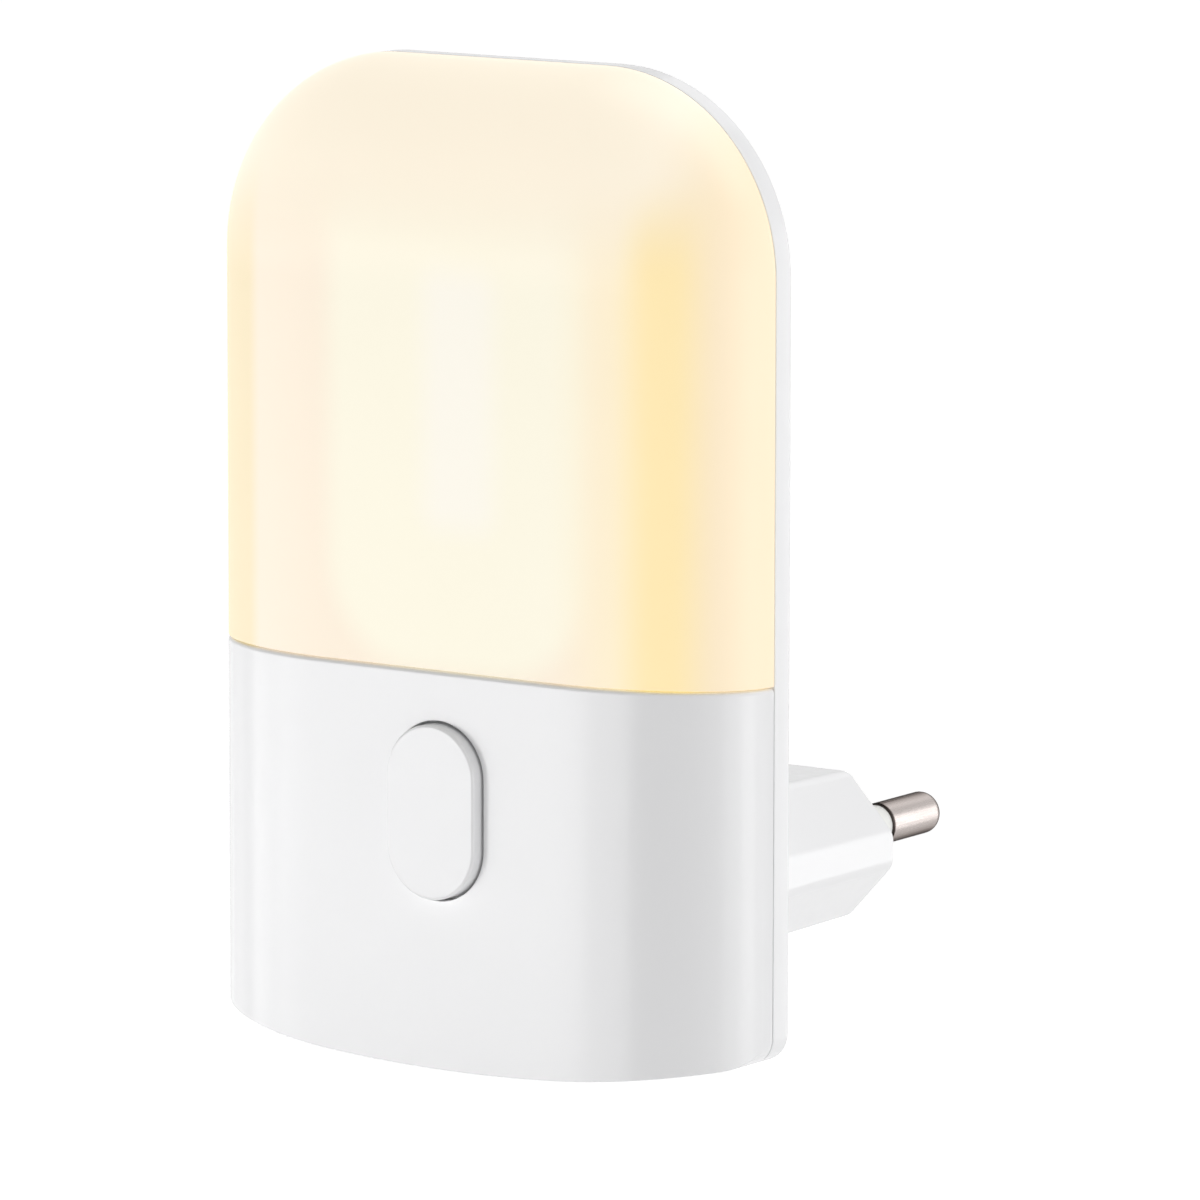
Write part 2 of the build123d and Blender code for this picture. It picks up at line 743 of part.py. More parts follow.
film_x, film_y, film_rise = film_size
with BuildPart() as film_capacitor:
    with BuildSketch(driver_plane(part_seat)):
        with Locations(on_driver(film_place)):
            Rectangle(film_x, film_y)
    extrude(amount=film_rise)
    fillet(film_capacitor.edges().filter_by(Axis.Z), film_edge_radius)
    fillet(film_capacitor.faces().sort_by(Axis.Z)[-1].edges(), film_edge_radius / 2)
film_capacitor.part.label = "film_capacitor"
export_step(film_capacitor.part, "parts/film_capacitor.step")

can_x, can_y = on_driver(can_place)
can_axis = Axis((can_x, can_y, driver_top_z + part_seat + can_radius), (1, 0, 0))
with BuildPart() as electrolytic_capacitor:
    with BuildSketch(Plane(origin=can_axis.position, x_dir=(1, 0, 0), z_dir=(0, 0, 1))) as half:
        Rectangle(can_length, can_radius, align=(Align.CENTER, Align.MIN))
        fillet(half.vertices().group_by(Axis.Y)[-1], can_groove_radius)
        with Locations((can_length / 2 - can_groove_place, can_radius)):
            Circle(can_groove_radius, mode=Mode.SUBTRACT)
    revolve(axis=can_axis)
electrolytic_capacitor.part.label = "electrolytic_capacitor"
export_step(electrolytic_capacitor.part, "parts/electrolytic_capacitor.step")


def package(size, place, leads):
    """A moulded package with bent feet along both sides, standing on the driver board."""
    width, length, rise = size
    lift = driver_top_z + part_seat
    x, y = on_driver(place)
    with BuildPart() as body:
        with BuildSketch(Plane.XY.offset(lift + lead_foot_wall / 2)):
            with Locations((x, y)):
                Rectangle(width, length)
        extrude(amount=rise - lead_foot_wall / 2)
        chamfer(body.faces().sort_by(Axis.Z)[-1].edges(), lead_foot_wall)
        pitch = length / leads
        for step in range(leads):
            lead_y = y + (step - (leads - 1) / 2) * pitch + lead_foot_width / 2
            for side in sides.values():
                root = x + side * width / 2
                knee = root + side * lead_foot_reach / 2
                with BuildSketch(Plane.XZ.offset(-lead_y)):
                    with BuildLine():
                        Polyline(
                            (root, lift + rise / 2),
                            (knee, lift + rise / 2),
                            (knee, lift + lead_foot_wall),
                            (root + side * lead_foot_reach, lift + lead_foot_wall),
                            (root + side * lead_foot_reach, lift),
                            (knee - side * lead_foot_wall, lift),
                            (knee - side * lead_foot_wall, lift + rise / 2 - lead_foot_wall),
                            (root, lift + rise / 2 - lead_foot_wall),
                            close=True,
                        )
                    make_face()
                extrude(amount=lead_foot_width)
    return body.part


bridge_rectifier = package(rectifier_size, rectifier_place, leads=2)
bridge_rectifier.label = "bridge_rectifier"
export_step(bridge_rectifier, "parts/bridge_rectifier.step")

driver_chip = package(chip_size, chip_place, leads=4)
driver_chip.label = "driver_chip"
export_step(driver_chip, "parts/driver_chip.step")

fuse_x, fuse_y = on_driver(fuse_place)
fuse_z = driver_top_z + fuse_lift + fuse_radius
fuse_axis = Axis((fuse_x, fuse_y, fuse_z), (0, 1, 0))
fuse_lead_end = fuse_length / 2 + fuse_lead_reach
with BuildPart() as fuse_resistor:
    with BuildSketch(Plane(origin=fuse_axis.position, x_dir=(1, 0, 0), z_dir=(0, 0, 1))) as half:
        Rectangle(fuse_radius, fuse_length, align=(Align.MIN, Align.CENTER))
        fillet(half.vertices().group_by(Axis.X)[-1], fuse_end_radius)
    revolve(axis=fuse_axis)
    with BuildLine() as lead_route:
        FilletPolyline(
            (fuse_x, fuse_y - fuse_lead_end, driver_top_z + part_seat),
            (fuse_x, fuse_y - fuse_lead_end, fuse_z),
            (fuse_x, fuse_y + fuse_lead_end, fuse_z),
            (fuse_x, fuse_y + fuse_lead_end, driver_top_z + part_seat),
            radius=fuse_lead_bend,
        )
    with BuildSketch(Plane(origin=lead_route.line @ 0, z_dir=lead_route.line % 0)):
        Circle(fuse_lead_radius)
    sweep(path=lead_route.line)
fuse_resistor.part.label = "fuse_resistor"
export_step(fuse_resistor.part, "parts/fuse_resistor.step")

resistor_x, resistor_y, resistor_rise = chip_resistor_size
with BuildPart() as chip_resistors:
    with BuildSketch(driver_plane(part_seat)):
        with Locations(on_driver(chip_resistor_place)):
            with GridLocations(1, chip_resistor_pitch, 1, chip_resistor_count):
                Rectangle(resistor_x, resistor_y)
    extrude(amount=resistor_rise)
chip_resistors.part.label = "chip_resistors"
export_step(chip_resistors.part, "parts/chip_resistors.step")

# --- Leads that carry the driver's output forward to the light board ---
wire_z = driver_top_z + part_seat + wire_radius
wire_start_y = driver_end_y - driver_length + wire_start
board_rear_y = parting_y - board_rear_depth
for name, side in {"negative": -1, "positive": 1}.items():
    with BuildPart() as wire:
        with BuildLine() as route:
            FilletPolyline(
                (side * wire_x, wire_start_y, wire_z),
                (side * wire_x, wire_start_y - wire_straight, wire_z),
                (side * (wire_x + wire_spread), board_rear_y + wire_end_straight, wire_z + wire_rise),
                (side * (wire_x + wire_spread), board_rear_y, wire_z + wire_rise),
                radius=wire_bend_radius,
            )
        with BuildSketch(Plane(origin=route.line @ 0, z_dir=route.line % 0)):
            Circle(wire_radius)
        sweep(path=route.line)
    wire.part.label = f"led_lead_{name}"
    export_step(wire.part, f"parts/led_lead_{name}.step")
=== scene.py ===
# %% [markdown]
# # A plug-in night light
#
# The real object is a slim lamp that hangs in a wall socket. An opal shell glows over a white
# housing with one push button, a flat white cover closes the back, and a two-pin mains plug
# stands out of that cover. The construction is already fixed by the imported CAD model. This
# lesson gives it its looks: clean moulded shells with softened edges, and a finish for every
# piece. Everything is in metres, in the frame of the CAD model: the pins point along +Y, the
# lit front faces -Y and +Z is up.

# %% Load the fixed frame
import math

import bmesh
import bpy
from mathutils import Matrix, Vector


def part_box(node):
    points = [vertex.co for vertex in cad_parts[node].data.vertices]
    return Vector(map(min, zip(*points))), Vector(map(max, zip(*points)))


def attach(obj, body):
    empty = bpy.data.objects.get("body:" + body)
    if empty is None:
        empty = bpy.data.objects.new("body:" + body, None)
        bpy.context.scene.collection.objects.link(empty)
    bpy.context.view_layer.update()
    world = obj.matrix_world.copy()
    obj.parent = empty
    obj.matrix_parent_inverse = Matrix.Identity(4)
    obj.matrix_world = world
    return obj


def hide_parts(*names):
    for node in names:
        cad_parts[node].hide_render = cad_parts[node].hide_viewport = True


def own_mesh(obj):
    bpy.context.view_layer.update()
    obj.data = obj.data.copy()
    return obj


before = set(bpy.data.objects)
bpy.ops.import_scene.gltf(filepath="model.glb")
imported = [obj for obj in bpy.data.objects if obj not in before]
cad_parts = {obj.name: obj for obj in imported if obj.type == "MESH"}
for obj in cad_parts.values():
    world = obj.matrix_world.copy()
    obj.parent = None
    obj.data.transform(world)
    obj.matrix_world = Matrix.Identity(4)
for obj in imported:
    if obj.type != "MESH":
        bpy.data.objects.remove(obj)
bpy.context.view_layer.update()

# %% [markdown]
# ## The camera
#
# A product picture of something this small is taken with a long lens from a short distance, so
# that upright edges stay upright. The camera could be turned until the view looks right, but a
# few named values say more: where it looks, from which side, how far away, and a small shift
# that moves the picture in its frame without tilting the lamp.

# %% Camera
mm = 0.001
camera_target = Vector((0, -37 * mm, 30 * mm))
camera_azimuth = math.radians(36)
camera_elevation = math.radians(8.43)
camera_distance = 806.7 * mm
lens_mm, sensor_mm = 270, 36
nearest_seen = 10 * mm
picture_width = 1200
target_pixel = (503.4, 559.0)  # where the target falls, in a picture of that width

camera_data = bpy.data.cameras.new("camera")
camera = bpy.data.objects.new("camera", camera_data)
bpy.context.scene.collection.objects.link(camera)
towards_camera = Vector((
    math.sin(camera_azimuth) * math.cos(camera_elevation),
    -math.cos(camera_azimuth) * math.cos(camera_elevation),
    math.sin(camera_elevation),
))
camera.location = camera_target + towards_camera * camera_distance
camera.rotation_euler = towards_camera.to_track_quat("Z", "Y").to_euler()
camera_data.sensor_width = sensor_mm
camera_data.lens = lens_mm
camera_data.shift_x = 0.5 - target_pixel[0] / picture_width
camera_data.shift_y = target_pixel[1] / picture_width - 0.5
camera_data.clip_start = nearest_seen
bpy.context.scene.camera = camera
bpy.context.scene.view_settings.view_transform = "Standard"
print("camera at", [round(value, 3) for value in camera.location])

# %% [markdown]
# ## Sizes
#
# The shells have to stand exactly where their CAD solids stand. Their outer sizes are therefore
# read from the frame, and only what a box can't tell, such as radii and walls, is written here.

# %% Sizes read from the frame, and the moulding's own radii
diffuser_low, diffuser_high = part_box("diffuser")
housing_low, housing_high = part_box("front_housing")
cover_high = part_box("rear_cover")[1]
button_low, button_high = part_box("button_cap")

front_depth = 10 * mm
cover_depth = 2.8 * mm
half_width = cover_high.x
top_z = cover_high.z
foot_z = housing_low.z
front_y = housing_low.y
parting_y = front_y + front_depth
shell_rear_y = housing_high.y
rear_y = parting_y + cover_depth

corner_radius = 18 * mm
crown_reach = 17 * mm
crown_depth = parting_y - front_y
shell_wall = 1.8 * mm
foot_sagitta = 2.6 * mm
foot_corner_radius = 2.5 * mm
foot_arc_radius = (half_width**2 + foot_sagitta**2) / (2 * foot_sagitta)
seam_radius = 0.09 * mm
split_gap = 0.12 * mm
split_low = housing_high.z
split_high = split_low + split_gap
print(f"body {2000 * half_width:.1f} wide and {1000 * (top_z - foot_z):.1f} high")
print(f"diffuser with its tongue {1000 * (diffuser_high.z - diffuser_low.z):.1f} high")

# %% [markdown]
# ## Working as by hand
#
# Each shell starts as a primitive and is shaped in edit mode with the same operators as in the
# window. Operators act on what is selected, so small helpers open a piece with nothing selected,
# select faces or edges by where they lie, and apply a modifier or a cut to one piece alone.

# %% Helpers to open, pick and close a piece
tolerance = 0.01 * mm
square_on = 0.999  # cosine to a direction, for a face that looks straight along it
nearly_on = 0.9  # the same for a face that may lean a little
rim_segments = 6


def leave_edit_mode():
    """Back to object mode with nothing selected."""
    if bpy.context.mode != "OBJECT":
        bpy.ops.object.mode_set(mode="OBJECT")
    bpy.ops.object.select_all(action="DESELECT")


def close_piece(piece):
    """Leave edit mode with this piece selected alone."""
    leave_edit_mode()
    piece.select_set(True)
    bpy.context.view_layer.objects.active = piece


def open_piece(piece):
    """Take this piece alone into edit mode, with nothing selected in it."""
    close_piece(piece)
    bpy.ops.object.mode_set(mode="EDIT")
    bpy.ops.mesh.select_all(action="DESELECT")


def begin_piece(name):
    """The primitive that was just added becomes a piece at the origin, open and unselected."""
    piece = bpy.context.object
    piece.name = piece.data.name = name
    bpy.ops.object.transform_apply(location=True, rotation=True, scale=True)
    open_piece(piece)
    return piece


def add_block(name, low, high):
    """A cube primitive that reaches from one corner to the other."""
    leave_edit_mode()
    low, high = Vector(low), Vector(high)
    bpy.ops.mesh.primitive_cube_add(size=1, location=(low + high) / 2, scale=high - low)
    return begin_piece(name)


def pick_edges(piece, wanted):
    """Select the edges whose two ends pass a test."""
    open_piece(piece)
    bpy.ops.mesh.select_mode(type="EDGE")
    form = bmesh.from_edit_mesh(piece.data)
    for edge in form.edges:
        edge.select = wanted(edge.verts[0].co, edge.verts[1].co)
    form.select_flush_mode()
    bmesh.update_edit_mesh(piece.data)
    return sum(edge.select for edge in form.edges)


def pick_faces(piece, wanted):
    """Select the faces whose middle and direction pass a test."""
    open_piece(piece)
    bpy.ops.mesh.select_mode(type="FACE")
    form = bmesh.from_edit_mesh(piece.data)
    for face in form.faces:
        face.select = wanted(face.calc_center_median(), face.normal)
    form.select_flush_mode()
    bmesh.update_edit_mesh(piece.data)
    return sum(face.select for face in form.faces)


def near(a, b):
    """Whether two places are the same, as far as modelling goes."""
    return abs(a - b) < tolerance


def facing(side):
    """A test for the faces that look straight along a direction."""
    return lambda middle, normal: normal.dot(Vector(side)) > square_on


def bevel_rim(piece, side, radius):
    """Round the outline of the faces that look along a direction."""
    pick_faces(piece, facing(side))
    bpy.ops.mesh.region_to_loop()
    bpy.ops.mesh.bevel(offset=radius, segments=rim_segments, affect="EDGES")


def apply_modifier(piece, kind, **settings):
    """Add one modifier with its settings and apply it."""
    close_piece(piece)
    modifier = piece.modifiers.new(kind.lower(), kind)
    for setting, value in settings.items():
        setattr(modifier, setting, value)
    bpy.ops.object.modifier_apply(modifier=modifier.name)


def cut_with(piece, cutter, operation="DIFFERENCE"):
    """Cut a piece with another shape, or keep what both share, and throw the cutter away."""
    apply_modifier(piece, "BOOLEAN", object=cutter, operation=operation, solver="EXACT")
    bpy.data.objects.remove(cutter)
    open_piece(piece)
    bpy.ops.mesh.select_all(action="SELECT")
    bpy.ops.mesh.remove_doubles(threshold=tolerance)


def soften(piece, radius, angle=35, segments=3):
    """Round every edge sharper than the angle, and shade the rest smooth."""
    apply_modifier(
        piece, "BEVEL", width=radius, segments=segments, limit_method="ANGLE",
        angle_limit=math.radians(angle), use_clamp_overlap=False, harden_normals=False,
    )
    bpy.ops.object.shade_smooth_by_angle(angle=math.radians(40))
    apply_modifier(piece, "WEIGHTED_NORMAL", keep_sharp=True, weight=100)


print("helpers ready")

# %% [markdown]
# ## The diffuser
#
# The real diffuser is an opal moulding with a flat front whose edge runs back to the sides in a
# long elliptical curve, the same all round the arched top. Subdivision could approach it, but
# its curve would follow the cage only roughly. Here the curve is made exactly: the corners of a
# block are rounded, then its front edge is rounded with a true quarter circle, and at last the
# block is squashed in depth, which turns each circle into the ellipse of the real mould.

# %% A block with the crowned front
arc_steps = 28
crown_steps = 30


def crowned_block(name, low_z, high_z, arched):
    """A closed block from the parting line forward, with the elliptical front edge."""
    round_front = parting_y - crown_reach
    block = add_block(name, (-half_width, round_front, low_z), (half_width, parting_y, high_z))
    if arched:
        pick_edges(block, lambda a, b: near(a.x, b.x) and near(a.z, b.z) and near(a.z, high_z))
        bpy.ops.mesh.bevel(offset=corner_radius, segments=arc_steps, affect="EDGES")

    def on_crown(a, b):
        at_front = near(a.y, round_front) and near(b.y, round_front)
        at_low_end = near(a.z, low_z) and near(b.z, low_z)
        at_high_end = near(a.z, high_z) and near(b.z, high_z)
        return at_front and not at_low_end and (arched or not at_high_end)

    count = pick_edges(block, on_crown)
    bpy.ops.mesh.bevel(
        offset=crown_reach, segments=crown_steps, affect="EDGES", clamp_overlap=False,
    )
    bpy.ops.mesh.select_all(action="SELECT")
    squash = (1, crown_depth / crown_reach, 1)
    bpy.ops.transform.resize(value=squash, center_override=(0, parting_y, 0))
    bpy.ops.mesh.remove_doubles(threshold=tolerance)
    print(name, "has", count, "edges rounded along its front")
    return block


diffuser = crowned_block("diffuser_shell", split_high, top_z, arched=True)

# %% [markdown]
# A moulded shell has one wall thickness. The rear and the lower end are opened, and Solidify
# grows the wall inwards from the skin that is already right. The inner half of the lower rim is
# then drawn down into a tongue, which sits behind the housing's edge and hides the inside. A
# last small bevel turns every sharp edge into the soft one that a mould leaves, and it is this
# edge that catches the light along the seams.

# %% Open the block, give it a wall and a tongue
tongue_length = 2.0 * mm
tongue_taper = 0.995
across_wall = 0.05  # an edge that crosses the wall spans more of the crown than this


def open_shell(piece, *sides):
    """Delete the faces that look along the given directions and grow a wall inwards."""
    for side in sides:
        pick_faces(piece, facing(side))
        bpy.ops.mesh.delete(type="FACE")
    apply_modifier(
        piece, "SOLIDIFY", thickness=shell_wall, offset=-1,
        use_even_offset=True, use_quality_normals=True,
    )
    pick_faces(
        piece,
        lambda middle, normal: normal.y > nearly_on and middle.y > shell_rear_y - shell_wall,
    )
    bpy.ops.transform.resize(value=(1, 0, 1), center_override=(0, shell_rear_y, 0))


def crown_share(point):
    """1 on the elliptical skin, less inside it."""
    across = max(abs(point.x) - (half_width - crown_reach), 0) / crown_reach
    return math.hypot(across, (point.y - parting_y) / crown_depth)


def grow_half_rim(piece, rim_z, height, outer):
    """Split the wall's level rim along its middle, and draw one half up or down."""
    pick_edges(
        piece,
        lambda a, b: near(a.z, rim_z) and near(b.z, rim_z)
        and abs(crown_share(a) - crown_share(b)) > across_wall,
    )
    bpy.ops.mesh.subdivide(number_cuts=1)
    middle_share = 1 - shell_wall / crown_depth / 2
    count = pick_faces(
        piece,
        lambda middle, normal: near(middle.z, rim_z) and abs(normal.z) > nearly_on
        and (crown_share(middle) > middle_share) == outer,
    )
    bpy.ops.mesh.extrude_region_move(TRANSFORM_OT_translate={"value": (0, 0, height)})
    if not outer:
        squeeze = (tongue_taper, tongue_taper, 1)
        bpy.ops.transform.resize(value=squeeze, center_override=(0, parting_y, 0))
    return count


open_shell(diffuser, (0, 1, 0), (0, 0, -1))
rim_faces = grow_half_rim(diffuser, split_high, -tongue_length, outer=False)
soften(diffuser, seam_radius)
print("diffuser tongue drawn from", rim_faces, "faces, whole shell", len(diffuser.data.polygons))

# %% [markdown]
# ## The housing
#
# The white housing below carries the same curve straight down to the foot, where a shallow arc
# cuts it off. That arc, the small corners beside it and the arch at the top are one outline,
# which the rear cover shares. It is drawn as by hand: one vertex is spun round the centre of
# each arc and moved along each straight, the half is mirrored and filled, and the face is drawn
# out into a block. The block trims the housing's foot and later becomes the rear cover's rim.

# %% The outline of the body, drawn once
foot_steps = 24
foot_corner_steps = 8
foot_centre_z = foot_z + foot_arc_radius
foot_corner_x = half_width - foot_corner_radius
foot_corner_turn = math.asin(foot_corner_x / (foot_arc_radius - foot_corner_radius))
foot_corner_z = foot_centre_z - (foot_arc_radius - foot_corner_radius) * math.cos(foot_corner_turn)


def outline_block(name, low_y, high_y):
    """A closed block with the outline of the whole body between two depths."""
    leave_edit_mode()
    bpy.ops.mesh.primitive_plane_add(size=1, location=(0, 0, 0))
    block = begin_piece(name)
    bpy.ops.mesh.select_mode(type="VERT")
    bpy.ops.mesh.select_all(action="SELECT")
    bpy.ops.mesh.merge(type="CENTER")
    bpy.ops.transform.translate(value=(0, low_y, foot_z))
    spins = (
        (foot_steps, foot_corner_turn, (0, low_y, foot_centre_z)),
        (foot_corner_steps, math.pi / 2 - foot_corner_turn, (foot_corner_x, low_y, foot_corner_z)),
    )
    for steps, angle, centre in spins:
        bpy.ops.mesh.spin(steps=steps, angle=angle, center=centre, axis=(0, 1, 0))
    straight = top_z - corner_radius - foot_corner_z
    bpy.ops.mesh.extrude_region_move(TRANSFORM_OT_translate={"value": (0, 0, straight)})
    arch_centre = (half_width - corner_radius, low_y, top_z - corner_radius)
    bpy.ops.mesh.spin(steps=arc_steps, angle=math.pi / 2, center=arch_centre, axis=(0, 1, 0))
    flat_top = half_width - corner_radius
    bpy.ops.mesh.extrude_region_move(TRANSFORM_OT_translate={"value": (-flat_top, 0, 0)})
    apply_modifier(block, "MIRROR", use_axis=(True, False, False), merge_threshold=tolerance)
    bpy.ops.object.mode_set(mode="EDIT")
    bpy.ops.mesh.select_all(action="SELECT")
    bpy.ops.mesh.remove_doubles(threshold=tolerance)
    bpy.ops.mesh.edge_face_add()
    bpy.ops.mesh.extrude_region_move(TRANSFORM_OT_translate={"value": (0, high_y - low_y, 0)})
    bpy.ops.mesh.select_all(action="SELECT")
    bpy.ops.mesh.normals_make_consistent(inside=False)
    return block


housing_rim_z = split_low - tongue_length
trim_allowance = 4 * mm
housing = crowned_block("housing_shell", foot_z - trim_allowance, housing_rim_z, arched=False)
foot_trim = outline_block("foot_trim", front_y - trim_allowance, parting_y + trim_allowance)
cut_with(housing, foot_trim, "INTERSECT")
leave_edit_mode()
print("housing after the trim:", len(housing.data.polygons), "faces")

# %% [markdown]
# The housing is opened at the back and the top and gets its wall as the diffuser did. Here the
# outer half of the rim grows up, round the diffuser's tongue. The button's opening is cut a
# little wider than in the construction, so that its outline shows, and the upper edge gets a
# larger radius than the other seams, to catch more light.

# %% Wall, rim and button opening
open_shell(housing, (0, 1, 0), (0, 0, 1))
rim_faces = grow_half_rim(housing, housing_rim_z, tongue_length, outer=True)


def stadium_block(name, low, high, end_steps=24):
    """A block with fully rounded upper and lower ends, seen from the front."""
    block = add_block(name, low, high)
    pick_edges(block, lambda a, b: near(a.x, b.x) and near(a.z, b.z))
    bpy.ops.mesh.bevel(offset=(high[0] - low[0]) / 2, segments=end_steps, affect="EDGES")
    bpy.ops.mesh.select_all(action="SELECT")
    bpy.ops.mesh.remove_doubles(threshold=tolerance)
    return block


upper_edge_radius = 0.4 * mm
outer_skin = 0.99  # crown share from which a point counts as on the outside
opening_gap = 0.24 * mm
button_half_width = 4.8 * mm
button_half_height = 7.9 * mm
button_z = (button_low.z + button_high.z) / 2
opening_half = (button_half_width + opening_gap, button_half_height + opening_gap)
opening = stadium_block(
    "opening",
    (-opening_half[0], front_y - trim_allowance, button_z - opening_half[1]),
    (opening_half[0], front_y + trim_allowance, button_z + opening_half[1]),
)
cut_with(housing, opening)
pick_edges(
    housing,
    lambda a, b: near(a.z, split_low) and near(b.z, split_low)
    and min(crown_share(a), crown_share(b)) > outer_skin,
)
bpy.ops.mesh.bevel(offset=upper_edge_radius, segments=rim_segments, affect="EDGES")
soften(housing, seam_radius)
print("housing rim drawn from", rim_faces, "faces, whole shell", len(housing.data.polygons))

# %% [markdown]
# ## The button
#
# The button is a cap with rounded ends, held behind the front wall by a flange. A plain extruded
# shape would look machined, so its front edge is rounded and its face is left flat. The flange
# is a second, wider block of the same kind. The hollow behind the face never shows, so the
# piece stays solid here.

# %% Button cap with its flange
button_flange = 1.2 * mm
flange_play, flange_depth = 0.05 * mm, 1.0 * mm
flange_front_y = front_y + shell_wall + flange_play
flange_rear_y = flange_front_y + flange_depth
button_edge_radius = 0.28 * mm
button_soft_radius = 0.05 * mm
button = stadium_block(
    "button",
    (-button_half_width, button_low.y, button_z - button_half_height),
    (button_half_width, flange_rear_y, button_z + button_half_height),
)
bevel_rim(button, (0, -1, 0), button_edge_radius)
flange = stadium_block(
    "flange",
    (-button_half_width - button_flange, flange_front_y,
     button_z - button_half_height - button_flange),
    (button_half_width + button_flange, flange_rear_y,
     button_z + button_half_height + button_flange),
)
cut_with(button, flange, "UNION")
soften(button, button_soft_radius)
print("button faces:", len(button.data.polygons))

# %% [markdown]
# ## The rear cover and its plug body
#
# One moulding closes the back and forms the plug body. It is easiest as two forms that are
# welded: the flat cover with its lip, and the bevelled plug. The plug's slanted sides are not
# at 45 degrees, so its block starts a little too low, gets 45-degree bevels, and is stretched to
# its real height. It also widens towards the cover, because a mould part without that draft
# would not come out of its tool.

# %% Cover plate with its lip
rim_radius = 0.8 * mm
lip_inset = 2.0 * mm
lip_wall = 1.0 * mm
lip_height = 1.7 * mm

cover = outline_block("rear_cover_shell", parting_y, rear_y)
bevel_rim(cover, (0, 1, 0), rim_radius)
pick_faces(cover, facing((0, -1, 0)))
bpy.ops.mesh.inset(thickness=lip_inset, use_even_offset=True)
bpy.ops.mesh.extrude_region_move(TRANSFORM_OT_translate={"value": (0, -lip_height, 0)})
bpy.ops.mesh.inset(thickness=lip_wall, use_even_offset=True)
bpy.ops.mesh.extrude_region_move(TRANSFORM_OT_translate={"value": (0, lip_height, 0)})
close_piece(cover)
print("cover plate faces:", len(cover.data.polygons))

# %% Plug body
plug_width, plug_height = 35.3 * mm, 13.7 * mm
plug_flat_width, plug_side_height = 25.3 * mm, 3.0 * mm
plug_corner_radius = 1.6 * mm
plug_draft = math.radians(1.0)
plug_wall = 1.6 * mm
plug_overlap = 1.0 * mm  # how far the plug's forms reach into the cover, to weld or cut it
plug_root_y = rear_y - plug_overlap
long_edge = 10 * mm  # only the edges along the plug are longer in depth than this
least_radius = 0.3 * mm
slant = math.atan2(plug_height - plug_side_height, plug_width - plug_flat_width)


def plug_form(name, inset, low_y, high_y):
    """The bevelled six-sided form of the plug, drawn in all round by an inset."""
    width, height = plug_width - 2 * inset, plug_height - 2 * inset
    flat = plug_flat_width - 2 * inset * math.tan(slant / 2)
    side = plug_side_height - 2 * inset * math.tan((math.pi / 2 - slant) / 2)
    bevel_width, bevel_rise = (width - flat) / 2, (height - side) / 2
    stretch = bevel_rise / bevel_width
    form = add_block(
        name, (-width / 2, low_y, -height / stretch / 2), (width / 2, high_y, height / stretch / 2),
    )
    pick_edges(form, lambda a, b: near(a.x, b.x) and near(a.z, b.z))
    bpy.ops.mesh.bevel(offset=bevel_width, segments=1, affect="EDGES")
    bpy.ops.mesh.select_all(action="SELECT")
    bpy.ops.transform.resize(value=(1, 1, stretch), center_override=(0, 0, 0))
    for way, place in ((-1, low_y), (1, high_y)):
        growth = -2 * place * math.tan(plug_draft)
        pick_faces(form, facing((0, way, 0)))
        draft = (1 + growth / width, 1, 1 + growth / height)
        bpy.ops.transform.resize(value=draft, center_override=(0, place, 0))
    pick_edges(form, lambda a, b: abs(a.y - b.y) > long_edge)
    radius = max(plug_corner_radius - inset, least_radius)
    offset = radius * math.tan(slant / 2)
    bpy.ops.mesh.bevel(offset=offset, segments=rim_segments, affect="EDGES")
    return form


plug = plug_form("plug_body", 0, plug_root_y, 0)

# The pin carrier sits in a shallow pocket in the end of the plug.
pocket_wall = 0.7 * mm
pocket_depth = 3.2 * mm
pick_faces(plug, facing((0, 1, 0)))
bpy.ops.mesh.inset(thickness=pocket_wall, use_even_offset=True)
bpy.ops.mesh.extrude_region_move(TRANSFORM_OT_translate={"value": (0, -pocket_depth, 0)})
close_piece(plug)
print(f"plug {1000 * plug_width:.1f} by {1000 * plug_height:.1f}, faces:", len(plug.data.polygons))

# %% [markdown]
# The two forms are welded and hollowed from the front, and a well is cut for each case screw.
# The bevel that follows leaves a small fillet where the plug meets the plate, as a moulding has,
# and a soft edge all round the wells.

# %% Weld, screw wells and soft edges
hollow_overlap = 0.1 * mm
well_radius = 2.55 * mm
well_depth = 1.6 * mm
well_sides = 48
cover_soft_radius, cover_soft_angle = 0.12 * mm, 28
screw_rim = 2.3 * mm  # from a case screw's middle to its outermost point
screw_low, screw_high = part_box("case_screws")
screw_x = screw_high.x - screw_rim
screw_z = (screw_low.z + screw_high.z) / 2

cut_with(cover, plug, "UNION")
plug_hollow = plug_form(
    "plug_hollow", plug_wall, parting_y - plug_overlap, -pocket_depth + hollow_overlap,
)
cut_with(cover, plug_hollow)
for side in (-1, 1):
    leave_edit_mode()
    bpy.ops.mesh.primitive_cylinder_add(
        vertices=well_sides, radius=well_radius, depth=2 * well_depth,
        location=(side * screw_x, rear_y, screw_z), rotation=(math.pi / 2, 0, 0),
    )
    well = begin_piece("screw_well")
    cut_with(cover, well)
soften(cover, cover_soft_radius, angle=cover_soft_angle)
print("rear cover faces:", len(cover.data.polygons))
print("screws at", round(screw_x, 4), round(screw_z, 4))
